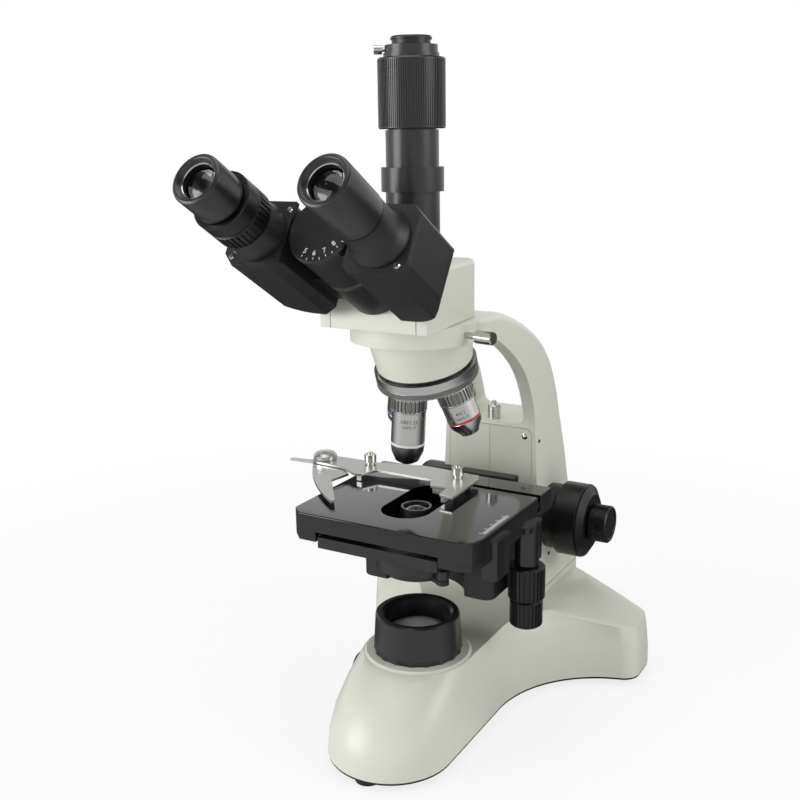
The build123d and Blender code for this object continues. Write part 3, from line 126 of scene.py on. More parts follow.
@dataclass(frozen=True)
class Finish:
    """What a surface is made of, and how it was finished."""

    name: str
    colour: str
    roughness: float
    metallic: float = 0.0
    ior: float = 1.5
    coat: float = 0.0
    coat_roughness: float = 0.1
    transmission: float = 0.0
    relief: Relief | None = None
    unevenness: float = 0.0
    unevenness_mm: float = 20.0

    def material(self) -> bpy.types.Material:
        """Returns the Blender material of this finish, made at its first use."""
        known = bpy.data.materials.get(self.name)
        if known is not None:
            return known
        made = bpy.data.materials.new(self.name)
        made.use_nodes = True
        tree = made.node_tree
        tree.nodes.clear()
        shader = add_node(tree, "ShaderNodeBsdfPrincipled", {
            "Base Color": linear(self.colour),
            "Metallic": self.metallic,
            "Roughness": self.roughness,
            "IOR": self.ior,
            "Coat Weight": self.coat,
            "Coat Roughness": self.coat_roughness,
            "Transmission Weight": self.transmission,
        })
        if self.unevenness:
            self._vary_roughness(tree, shader)
        if self.relief:
            self._raise_grain(tree, shader, self.relief)
        output = add_node(tree, "ShaderNodeOutputMaterial")
        tree.links.new(shader.outputs["BSDF"], output.inputs["Surface"])
        return made

    def _vary_roughness(self, tree: bpy.types.NodeTree, shader: bpy.types.Node) -> None:
        """Lets the gloss differ softly from place to place, as handling leaves it.

        Args:
            tree: The material's node tree.
            shader: Its Principled shader.
        """
        place = add_node(tree, "ShaderNodeTexCoord")
        patches = add_node(tree, "ShaderNodeTexNoise", {
            "Scale": 1 / (self.unevenness_mm * MM), "Detail": 2.0,
        }, {"Vector": place.outputs["Object"]})
        spread = add_node(tree, "ShaderNodeMapRange", {
            "To Min": self.roughness - self.unevenness,
            "To Max": self.roughness + self.unevenness,
        }, {"Value": patches.outputs["Fac"]})
        tree.links.new(spread.outputs["Result"], shader.inputs["Roughness"])

    def _raise_grain(self, tree: bpy.types.NodeTree, shader: bpy.types.Node,
                     relief: Relief) -> None:
        """Gives the surface the fine relief of its coat or its machining.

        Args:
            tree: The material's node tree.
            shader: Its Principled shader.
            relief: Grain size and height.
        """
        place = add_node(tree, "ShaderNodeTexCoord")
        stretched = add_node(tree, "ShaderNodeMapping", {"Scale": relief.stretch},
                             {"Vector": place.outputs["Object"]})
        grain = add_node(tree, "ShaderNodeTexNoise", {
            "Scale": 1 / (relief.grain_mm * MM), "Detail": relief.detail,
        }, {"Vector": stretched.outputs["Vector"]})
        bump = add_node(tree, "ShaderNodeBump", {
            "Strength": 1.0, "Distance": relief.height_mm * MM,
        }, {"Height": grain.outputs["Fac"]})
        tree.links.new(bump.outputs["Normal"], shader.inputs["Normal"])


# Baked enamel on cast aluminium: cream with a green cast, smooth, with an orange peel of
# about 2 mm that softens its highlights.
CREAM_ENAMEL = Finish("cream_enamel_on_casting", "dbdccf", 0.36, coat=0.2, coat_roughness=0.18,
                      relief=Relief(2.2, 0.012), unevenness=0.03)
# The same enamel on folded sheet steel, flatter and without the casting's waves.
CREAM_ENAMEL_SHEET = Finish("cream_enamel_on_sheet", "d8d9cc", 0.38, coat=0.15,
                            coat_roughness=0.2)
# Satin powder coat on cast aluminium: a grain of about 0.7 mm that breaks up highlights.
BLACK_POWDER_COAT = Finish("black_powder_coat", "1d1d1e", 0.42, relief=Relief(0.7, 0.02))
# Turned aluminium, black anodised: dark and satin, with soft long highlights.
BLACK_ANODISED = Finish("black_anodised_aluminium", "1b1b1c", 0.33, coat=0.3,
                        coat_roughness=0.22)
# Black lacquer on the stage, polished flat: mirrors the room at low angles.
BLACK_LACQUER = Finish("polished_black_lacquer", "0a0a0b", 0.1, coat=0.5, coat_roughness=0.05)
# Moulded ABS of the knobs: satin, with no metal sheen.
BLACK_ABS = Finish("moulded_black_abs", "0c0c0d", 0.36)
# Matt paint on the sheet steel under the base.
MATT_BLACK_PAINT = Finish("matt_black_paint", "151515", 0.7)
# Moulded rubber of the feet: matt and slightly grey.
BLACK_RUBBER = Finish("moulded_black_rubber", "1a1a1a", 0.8)
# Nickel plate on turned brass: bright, with slightly soft reflections.
BRIGHT_NICKEL = Finish("bright_nickel_plate", "c8c6c1", 0.18, metallic=1.0)
# Nickel plate on brushed brass sheet: streaks of about 0.35 mm along its length.
BRUSHED_NICKEL = Finish("brushed_nickel_plate", "cbcbc8", 0.3, metallic=1.0,
                        relief=Relief(0.35, 0.004, (0.08, 1.0, 1.0)))
# Ground steel of shafts and guides.
GROUND_STEEL = Finish("ground_steel", "9a9a99", 0.35, metallic=1.0)
# Satin chrome on turned brass.
SATIN_CHROME = Finish("satin_chrome", "cbcbc9", 0.22, metallic=1.0)
# The same chrome over a knurl, darkened as painted shade where the teeth shade each other.
SHADED_KNURL_CHROME = Finish("knurled_chrome_painted_shade", "8c8c8a", 0.28, metallic=1.0)
# Dark bronze-grey plate on the lower cone of an objective.
GUNMETAL = Finish("gunmetal_plate", "7a7976", 0.32, metallic=1.0)
# Crown glass, ground and polished.
CROWN_GLASS = Finish("crown_glass", "f4f8fa", 0.02, ior=1.52, transmission=1.0)
# Crown glass ground matt below and polished above: milky under clear reflections.
FROSTED_GLASS = Finish("frosted_crown_glass", "e4e8e6", 0.3, ior=1.52, coat=1.0,
                       coat_roughness=0.03, transmission=0.35)
# Blue dyed glass of the filter.
BLUE_GLASS = Finish("blue_dyed_glass", "6f9df0", 0.03, ior=1.52, transmission=1.0)
# Glazed steatite of the lamp's socket.
GLAZED_CERAMIC = Finish("glazed_ceramic", "dedbd0", 0.3)
# Enamel filled into the magnification rings.
WHITE_ENAMEL = Finish("white_ring_enamel", "e6e6e2", 0.35)
RED_ENAMEL = Finish("red_ring_enamel", "c22a3c", 0.35)
YELLOW_ENAMEL = Finish("yellow_ring_enamel", "e2b71f", 0.35)
BLUE_ENAMEL = Finish("blue_ring_enamel", "3a86c8", 0.35)
# Silk-screened marks.
WHITE_MARKS = Finish("white_screen_print", "e8e8e8", 0.5)
ENGRAVED_FILL = Finish("black_engraving_fill", "1c1c1c", 0.6)
# Painted shade: a near-black matt colour put into the gaps between fitted pieces and the depths of
# small holes, where shade falls.
PAINTED_SHADE = Finish("painted_shade_in_gaps", "0a0a0a", 0.9)


class Side(Enum):
    """One of the two mirrored sides, by the sign of its X."""

    LEFT = -1
    RIGHT = 1

    @property
    def word(self) -> str:
        """Returns the side's name as the nodes are named."""
        return self.name.lower()


@dataclass(frozen=True)
class Grip:
    """Equal grooves along the axis of a turned piece, between two heights."""

    count: int
    depth: float
    low: float
    high: float
    least_radius: float = 0.0
    land: float = 0.5
    flank: float = 0.08

    def columns(self) -> list[tuple[float, float]]:
        """Returns the angle of each column of points and how deep it lies, from 0 to 1."""
        step = 2 * math.pi / self.count
        marks = ((0.0, 0.0), (self.land, 0.0), (self.land + self.flank, 1.0),
                 (1.0 - self.flank, 1.0))
        return [((i + share) * step, depth) for i in range(self.count) for share, depth in marks]

    def radius(self, radius: float, height: float, depth: float) -> float:
        """Returns the radius of a point after the groove is cut.

        Args:
            radius: Radius before the cut.
            height: Height of the point.
            depth: How deep its column lies, from 0 to 1.
        """
        inside = self.low <= height <= self.high and radius > self.least_radius
        return radius - self.depth * depth if inside else radius


def placed(origin: Place, z_dir: Place = (0, 0, 1), x_dir: Place = (1, 0, 0)) -> Matrix:
    """Frame at a point, in millimetres.

    Args:
        origin: Its origin, seen from the optical axis at the table.
        z_dir: Direction of its Z axis.
        x_dir: Direction of its X axis.
    """
    up = Vector(z_dir).normalized()
    side = (Vector(x_dir) - up * Vector(x_dir).dot(up)).normalized()
    turn = Matrix((side, up.cross(side), up)).transposed()
    return Matrix.Translation(OPTICAL_AXIS + Vector(origin)) @ turn.to_4x4()


class Shape:
    """A mesh in the making, in millimetres, with a finish for each face."""

    def __init__(self, *finishes: Finish) -> None:
        """Starts an empty shape.

        Args:
            finishes: The finishes that its faces choose from by number.
        """
        self.finishes = finishes
        self.points: list[Vector] = []
        self.faces: list[tuple[int, ...]] = []
        self.choices: list[int] = []

    def add(self, points: Sequence[Vector], faces: Sequence[tuple[int, ...]],
            place: Matrix, finish: int | Sequence[int] = 0) -> Shape:
        """Adds points and faces in a frame.

        Args:
            points: Corners in the frame.
            faces: Corner numbers of each face.
            place: The frame.
            finish: One finish number, or one for each face.

        Returns:
            The shape itself.
        """
        first = len(self.points)
        self.points += [place @ p for p in points]
        self.faces += [tuple(first + i for i in face) for face in faces]
        self.choices += [finish] * len(faces) if isinstance(finish, int) else list(finish)
        return self

    def turn(self, outline: Outline, place: Matrix, steps: int = 96, grip: Grip | None = None,
             finishes: Sequence[int] | None = None, closed: bool = True) -> Shape:
        """Adds a turned piece about the frame's Z axis.

        Args:
            outline: (radius, height) points in order; radius 0 is on the axis.
            place: The frame.
            steps: Columns round the axis, unless a grip sets them.
            grip: Grooves cut along the axis.
            finishes: A finish number for each edge of the outline.
            closed: Whether the last point joins the first.

        Returns:
            The shape itself.
        """
        columns = grip.columns() if grip else [
            (2 * math.pi * i / steps, 0.0) for i in range(steps)]
        points: list[Vector] = []
        rows: list[list[int]] = []
        for radius, height in outline:
            if radius < 1e-6:
                points.append(Vector((0, 0, height)))
                rows.append([len(points) - 1] * len(columns))
                continue
            row = []
            for angle, depth in columns:
                r = grip.radius(radius, height, depth) if grip else radius
                points.append(Vector((r * math.cos(angle), r * math.sin(angle), height)))
                row.append(len(points) - 1)
            rows.append(row)
        faces: list[tuple[int, ...]] = []
        chosen: list[int] = []
        pairs = len(rows) if closed else len(rows) - 1
        for k in range(pairs):
            lower, upper = rows[k], rows[(k + 1) % len(rows)]
            for i in range(len(columns)):
                j = (i + 1) % len(columns)
                corners = tuple(dict.fromkeys((lower[i], lower[j], upper[j], upper[i])))
                if len(corners) > 2:
                    faces.append(corners)
                    chosen.append(finishes[k] if finishes else 0)
        return self.add(points, faces, place, chosen)

    def plate(self, outline: Outline, low: float, high: float, place: Matrix,
              finish: int = 0) -> Shape:
        """Adds a flat plate with upright edges.

        Args:
            outline: Its (x, y) corners in order.
            low: Height of its lower face.
            high: Height of its upper face.
            place: The frame.
            finish: Its finish number.

        Returns:
            The shape itself.
        """
        n = len(outline)
        points = [Vector((x, y, z)) for z in (low, high) for x, y in outline]
        faces = [tuple(range(n - 1, -1, -1)), tuple(range(n, 2 * n))]
        faces += [(i, (i + 1) % n, n + (i + 1) % n, n + i) for i in range(n)]
        return self.add(points, faces, place, finish)

    def bar(self, corner: Place, size: Place, place: Matrix, finish: int = 0) -> Shape:
        """Adds a box.

        Args:
            corner: Its lowest corner.
            size: Its length along each axis.
            place: The frame.
            finish: Its finish number.

        Returns:
            The shape itself.
        """
        x, y, z = corner
        dx, dy, dz = size
        return self.plate(((x, y), (x + dx, y), (x + dx, y + dy), (x, y + dy)), z, z + dz,
                          place, finish)

    def piece(self, name: str, body: str, smooth_deg: float = 32.0,
              replaces: Sequence[str] = ()) -> bpy.types.Object:
        """Makes the object and sets it on its CAD body.

        Args:
            name: Name of the piece.
            body: CAD body that it moves with.
            smooth_deg: Edges sharper than this stay crisp.
            replaces: CAD nodes that it stands for.

        Returns:
            The new object.
        """
        mesh = bpy.data.meshes.new(name)
        mesh.from_pydata([p * MM for p in self.points], [], self.faces)
        for finish in self.finishes:
            mesh.materials.append(finish.material())
        mesh.polygons.foreach_set("material_index", self.choices)
        work = bmesh.new()
        work.from_mesh(mesh)
        bmesh.ops.recalc_face_normals(work, faces=work.faces)
        work.to_mesh(mesh)
        work.free()
        mesh.polygons.foreach_set("use_smooth", [True] * len(mesh.polygons))
        mesh.set_sharp_from_angle(angle=math.radians(smooth_deg))
        made = bpy.data.objects.new(name, mesh)
        bpy.context.scene.collection.objects.link(made)
        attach(made, body)
        if replaces:
            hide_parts(*replaces)
        log.info("made %s on %s", name, body)
        return made


def lettering(text: str, height: float) -> tuple[list[Vector], list[tuple[int, ...]]]:
    """Flat characters of a plain typeface, centred on the origin.

    Args:
        text: The characters.
        height: Height of a capital, in millimetres.

    Returns:
        Points and faces.
    """
    curve = bpy.data.curves.new("lettering", "FONT")
    curve.body = text
    curve.align_x = "CENTER"
    curve.align_y = "CENTER"
    curve.size = height * 1.4
    curve.resolution_u = 3
    holder = bpy.data.objects.new("lettering", curve)
    bpy.context.scene.collection.objects.link(holder)
    mesh = holder.to_mesh()
    points = [v.co.copy() for v in mesh.vertices]
    faces = [tuple(p.vertices) for p in mesh.polygons]
    holder.to_mesh_clear()
    bpy.data.objects.remove(holder)
    bpy.data.curves.remove(curve)
    return points, faces


class SubAssembly:
    """A group of pieces that is dressed and detailed together."""

    dress_of: ClassVar[dict[str, Finish]] = {}

    def __init__(self, nodes: dict[str, bpy.types.Object]) -> None:
        """Keeps the CAD nodes at hand.

        Args:
            nodes: The frame's CAD nodes by name.
        """
        self.nodes = nodes

    def dress(self) -> None:
        """Gives each CAD node of this group its finish."""
        for name, finish in self.dress_of.items():
            mesh = self.nodes[name].data
            mesh.materials.clear()
            mesh.materials.append(finish.material())
            log.info("dressed %s", name)

    def build(self) -> None:
        """Makes the fine work of this group; a group without any keeps this."""

    def soften(self, node: str, body: str, slot: str, edge_mm: float,
               smooth_deg: float = 34.0) -> bpy.types.Object:
        """Stands a copy with fine rounded edges in for a CAD node.

        Args:
            node: The CAD node, which has its finish in `dress_of`.
            body: CAD body that it moves with.
            slot: Material slot of the record; not used.
            edge_mm: Width of the rounding along its sharp edges.
            smooth_deg: Edges sharper than this are rounded; the rest shade smoothly.

        Returns:
            The copy.
        """
        mesh = self.nodes[node].data.copy()
        mesh.name = node + "_softened"
        normals = mesh.attributes.get("custom_normal")
        if normals is not None:
            mesh.attributes.remove(normals)
        work = bmesh.new()
        work.from_mesh(mesh)
        bmesh.ops.remove_doubles(work, verts=work.verts, dist=0.004 * MM)
        bmesh.ops.dissolve_limit(work, angle_limit=math.radians(0.3), verts=work.verts,
                                 edges=work.edges)
        for face in work.faces:
            face.smooth = True
        work.to_mesh(mesh)
        work.free()
        mesh.set_sharp_from_angle(angle=math.radians(smooth_deg))
        made = bpy.data.objects.new(node + "_softened", mesh)
        bpy.context.scene.collection.objects.link(made)
        rounding = made.modifiers.new("fine_edges", "BEVEL")
        rounding.width = edge_mm * MM
        rounding.segments = 2
        rounding.limit_method = "ANGLE"
        rounding.angle_limit = math.radians(smooth_deg)
        rounding.harden_normals = True
        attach(made, body)
        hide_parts(node)
        log.info("softened %s", node)
        return made


class Stand(SubAssembly):
    """Base, feet, lamp and rear panel."""

    dress_of = {
        "base_casting": CREAM_ENAMEL, "base_cover_plate": MATT_BLACK_PAINT,
        "rubber_feet": BLACK_RUBBER, "lamp_holder": GLAZED_CERAMIC, "lamp_bulb": CROWN_GLASS,
        "rear_panel": BLACK_ABS, "switch_rocker": BLACK_ABS, "brightness_dial": BLACK_ABS,
    }

    def build(self) -> None:
        """Rounds the casting's edges."""
        self.soften("base_casting", "stand", "cream_paint", 0.8, 40.0)


class Illuminator(SubAssembly):
    """Collar and lens over the lamp."""

    dress_of = {"illuminator_collar": BLACK_ANODISED, "field_lens": FROSTED_GLASS}


class Arm(SubAssembly):
    """Column, arch, covers and the drum under the head."""

    dress_of = {
        "arm_casting": CREAM_ENAMEL, "column_cover": CREAM_ENAMEL_SHEET,
        "column_screws": BRIGHT_NICKEL, "column_rails": GROUND_STEEL,
        "nose_housing": CREAM_ENAMEL, "head_lock_screw": BRIGHT_NICKEL,
    }
    joint_z: ClassVar[float] = 65.0
    foot_corner: ClassVar[float] = 5.0
    foot_y: ClassVar[tuple[float, float]] = (111.0, 191.0)
    foot_half_width: ClassVar[float] = 41.0
    side_holes: ClassVar[tuple[tuple[float, float], ...]] = ((117.6, 178.4), (130.6, 88.1))

    def build(self) -> None:
        """Rounds the edges, and paints shade along the seam at the base and into the holes in the
        right side.
        """
        holes = [(self.side_x(y, z), y, z) for y, z in self.side_holes]
        self.soften("arm_casting", "stand", "cream_paint", 0.5)
        self.soften("column_cover", "stand", "cream_cover", 0.4)
        self.soften("nose_housing", "stand", "cream_paint", 0.5)
        # Near-black painted shade: a thin band round the seam at the base, and discs in the side
        # holes.
        shape = Shape(PAINTED_SHADE)
        low, high = self.foot_y
        r = self.foot_corner
        half = self.foot_half_width + 0.06
        outline = []
        for quarter, (x, y) in enumerate(((half - r, high - r), (r - half, high - r),
                                          (r - half, low + r), (half - r, low + r))):
            for step in range(7):
                angle = math.radians(90 * quarter + 15 * step)
                outline.append((x + (r + 0.06) * math.cos(angle), y + (r + 0.06) * math.sin(angle)))
        shape.plate(outline, self.joint_z - 0.12, self.joint_z + 0.12, placed((0, 0, 0)))
        for hole in holes:
            shape.turn(((0, 0.03), (1.9, 0.03), (1.9, -1.0), (0, -1.0)),
                       placed(hole, (1, 0, 0), (0, 1, 0)), 24)
        shape.piece("arm_seam_and_hole_shade", "stand")

    def side_x(self, y: float, z: float) -> float:
        """Returns where the arm's right side lies, seen from the optical axis.

        Args:
            y: How far back.
            z: How high.
        """
        start = (Vector((120.0, y, z)) + OPTICAL_AXIS) * MM
        hit, point, *_ = self.nodes["arm_casting"].ray_cast(start, Vector((-1, 0, 0)))
        return point.x / MM - OPTICAL_AXIS.x if hit else self.foot_half_width


@dataclass(frozen=True)
class FineKnob:
    """Size of a fine focus knob: its ribs stand between narrow grooves."""

    radius: float = 13.6
    inner: float = 71.5
    outer: float = 85.0
    bore: float = 2.5
    ribs: int = 60
    rib_depth: float = 0.55
    screw_deg: float = 175.0


class FocusDrive(SubAssembly):
    """Coarse and fine focus knobs on both sides of the column."""

    axis: ClassVar[Place] = (0.0, 137.0, 117.0)
    dress_of = {
        "focus_flanges": BLACK_POWDER_COAT, "coarse_knobs": BLACK_ABS,
        "coarse_shaft": GROUND_STEEL, "fine_knobs": BLACK_ABS,
    }

    def build(self) -> None:
        """Makes the finely ribbed fine focus knobs in place of the plain ones."""
        self.fine_knobs(FineKnob())

    def fine_knobs(self, knob: FineKnob) -> None:
        """Turns both fine knobs with their shaft.

        Args:
            knob: Their size.
        """
        shape = Shape(BLACK_ABS, GROUND_STEEL, PAINTED_SHADE)
        grip = Grip(knob.ribs, knob.rib_depth, knob.inner + 1.2, knob.outer - 0.9, 13.0)
        r = knob.radius
        outline = (
            (0.0, knob.inner), (r - 0.9, knob.inner), (r - 0.1, knob.inner + 0.7),
            (r - 0.1, knob.inner + 1.19), (r, knob.inner + 1.2), (r, knob.outer - 0.9),
            (r - 0.1, knob.outer - 0.85), (r - 1.0, knob.outer), (r - 2.6, knob.outer),
            (r - 3.2, knob.outer - 0.5), (0.0, knob.outer - 0.5))
        for side in Side:
            place = placed(self.axis, (side.value, 0, 0), (0, 1, 0))
            shape.turn(outline, place, grip=grip)
            # Each screw hole is a near-black disc: painted shade in the hole.
            hole = (place @ Matrix.Translation((0, 0, knob.inner + 4))
                    @ Matrix.Rotation(math.radians(knob.screw_deg * side.value), 4, "Z")
                    @ Matrix.Rotation(math.pi / 2, 4, "Y"))
            shape.turn(((0, r + 0.02), (1.5, r + 0.02), (1.5, r - 1), (0, r - 1)), hole, 20,
                       finishes=(2, 2, 2, 2))
        span = placed(self.axis, (1, 0, 0), (0, 1, 0))
        shape.turn(((0, -knob.inner), (knob.bore, -knob.inner), (knob.bore, knob.inner),
                    (0, knob.inner)), span, 24, finishes=(1, 1, 1, 1))
        shape.piece("fine_focus_knobs", "fine_focus", replaces=("fine_knobs",))


@dataclass(frozen=True)
class DriveKnob:
    """Size of a stage drive knob and of the shaft above it."""

    name: str
    node: str
    body: str
    radius: float
    low: float
    high: float
    shaft_radius: float
    shaft_top: float
    ribs: int = 26
    rib_depth: float = 0.7


class Stage(SubAssembly):
    """Stage with its guides and drive knobs."""

    dress_of = {
        "stage_carriage": BLACK_POWDER_COAT, "stage_bracket": BLACK_POWDER_COAT,
        "stage_base_plate": BLACK_POWDER_COAT, "stage_plate": BLACK_LACQUER,
        "y_drive_knob": BLACK_ABS, "y_drive_shaft": GROUND_STEEL, "x_drive_knob": BLACK_ABS,
    }
    knobs: ClassVar[tuple[DriveKnob, ...]] = (
        DriveKnob("y_drive_ribbed_knob", "y_drive_knob", "y_drive", 12.3, 96.0, 119.0, 4.0, 119.0),
        DriveKnob("x_drive_ribbed_knob", "x_drive_knob", "x_drive", 11.0, 77.0, 95.5, 2.0, 148.0),
    )
    drive_at: ClassVar[Place] = (62.0, 37.0, 0.0)
    top_z: ClassVar[float] = 163.0
    skirt_z: ClassVar[float] = 148.5
    left_x: ClassVar[float] = -66.5
    right_wall_x: ClassVar[float] = 61.0
    wall: ClassVar[float] = 4.0
    end_drop: ClassVar[float] = 3.5
    overlap: ClassVar[float] = 0.02
    lip_x: ClassVar[tuple[float, float]] = (-45.0, 40.5)
    lip_top_z: ClassVar[float] = 148.2
    notch_x: ClassVar[tuple[float, float]] = (-53.0, 45.0)
    notch_height: ClassVar[float] = 3.02
    scale_y: ClassVar[float] = -28.0
    scale_right_x: ClassVar[float] = 62.8
    scale_marks: ClassVar[int] = 35

    def build(self) -> None:
        """Rounds the edges, and makes the ribbed drive knobs and the printed scale."""
        self.soften("stage_plate", "stage", "stage_black", 0.4)
        self.soften("stage_bracket", "stage_lift", "black_paint", 0.8)
        self.soften("stage_base_plate", "stage_lift", "black_paint", 0.4)
        self.front_edge()
        for knob in self.knobs:
            self.drive_knob(knob)
        self.scale_lines()

    def front_edge(self) -> None:
        """Adds the lower plate's front lip and the skirt's deeper ends beside it."""
        lowest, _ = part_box("stage_base_plate")
        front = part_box("stage_plate")[0].y / MM - OPTICAL_AXIS.y
        rear = lowest.y / MM - OPTICAL_AXIS.y + 0.5
        low = lowest.z / MM
        left, right = self.lip_x
        here = placed((0, 0, 0))
        lip = Shape(BLACK_POWDER_COAT)
        lip.bar((left, front + 0.8, low),
                (right - left, rear - front - 0.8, self.lip_top_z - low - self.overlap), here)
        lip.piece("stage_base_plate_lip", "stage_lift")
        ends = Shape(BLACK_LACQUER)
        end_z = self.skirt_z - self.end_drop
        inner = front + self.wall
        side_y = front + 13
        corner_y = -40.9
        ends.plate(((self.left_x, corner_y), (-58.5, front), (left - 1.0, front),
                    (left - 1.0, inner), (-60.0, inner), (-62.5, front + 7)),
                   end_z, self.skirt_z + self.overlap, here)
        ends.plate(((right + 1.0, front), (56.0, front), (62.4, front + 3.4), (65.0, side_y),
                    (self.right_wall_x, side_y), (58.5, front + 6), (right + 1.0, inner)),
                   end_z, self.skirt_z + self.overlap, here)
        for x, y, length in ((self.right_wall_x, side_y, 78.0), (self.left_x, corner_y, 83.0)):
            ends.bar((x, y, end_z), (self.wall, length, self.end_drop + self.overlap), here)
        for low_x, high_x in (self.notch_x[0], left - 1.0), (right + 1.0, self.notch_x[1]):
            ends.bar((low_x, front, self.skirt_z),
                     (high_x - low_x, self.wall, self.notch_height), here)
        ends.piece("stage_skirt_ends", "stage")

    def drive_knob(self, knob: DriveKnob) -> None:
        """Turns one drive knob.

        Args:
            knob: Its size.
        """
        r, low, high = knob.radius, knob.low, knob.high
        grip = Grip(knob.ribs, knob.rib_depth, low + 1.6, high - 1.3, r - 0.4)
        shape = Shape(BLACK_ABS, GROUND_STEEL)
        shape.turn((
            (0, low), (r - 1.2, low), (r - 0.05, low + 1.1), (r - 0.05, low + 1.58),
            (r, low + 1.6), (r, high - 1.3), (r - 0.05, high - 1.28), (r - 0.05, high - 0.9),
            (r - 0.9, high), (0, high)), placed(self.drive_at), grip=grip)
        shape.turn(((0, high), (knob.shaft_radius, high), (knob.shaft_radius, knob.shaft_top),
                    (0, knob.shaft_top)), placed(self.drive_at), 24, finishes=(1, 1, 1, 1))
        shape.piece(knob.name, knob.body, replaces=(knob.node,))

    def scale_lines(self) -> None:
        """Prints the short white lines along the stage's right edge."""
        shape = Shape(WHITE_MARKS)
        for i in range(self.scale_marks):
            y = self.scale_y + i
            length = 4.6 if i % 8 == 0 else 2.6
            shape.bar((self.scale_right_x - length, y - 0.24, self.top_z - self.overlap),
                      (length, 0.48, 0.06), placed((0, 0, 0)))
        shape.piece("stage_scale_lines", "stage")


class SlideCarrier(SubAssembly):
    """Slide holder, its nuts and its sprung finger."""

    dress_of = {"slide_holder": BRUSHED_NICKEL, "holder_screws": BRIGHT_NICKEL,
                "holder_finger": BRUSHED_NICKEL}

    def build(self) -> None:
        """Rounds the edges of the sheet."""
        self.soften("slide_holder", "slide_carrier", "satin_nickel", 0.25)


class Condenser(SubAssembly):
    """Condenser with its iris lever and swing-out filter."""

    dress_of = {
        "condenser_body": BLACK_ANODISED, "condenser_lens": CROWN_GLASS,
        "iris_lever": BRIGHT_NICKEL, "filter_holder": BLACK_POWDER_COAT,
        "filter_glass": BLUE_GLASS,
    }


@dataclass(frozen=True)
class Objective:
    """Lengths of an objective, from its seat downwards, and its marks."""

    node: str
    turn_deg: float
    barrel: float
    ring: float
    cone: float
    cone_end: float
    tip: float
    ring_finish: Finish
    cone_finish: Finish
    marks: tuple[str, ...]


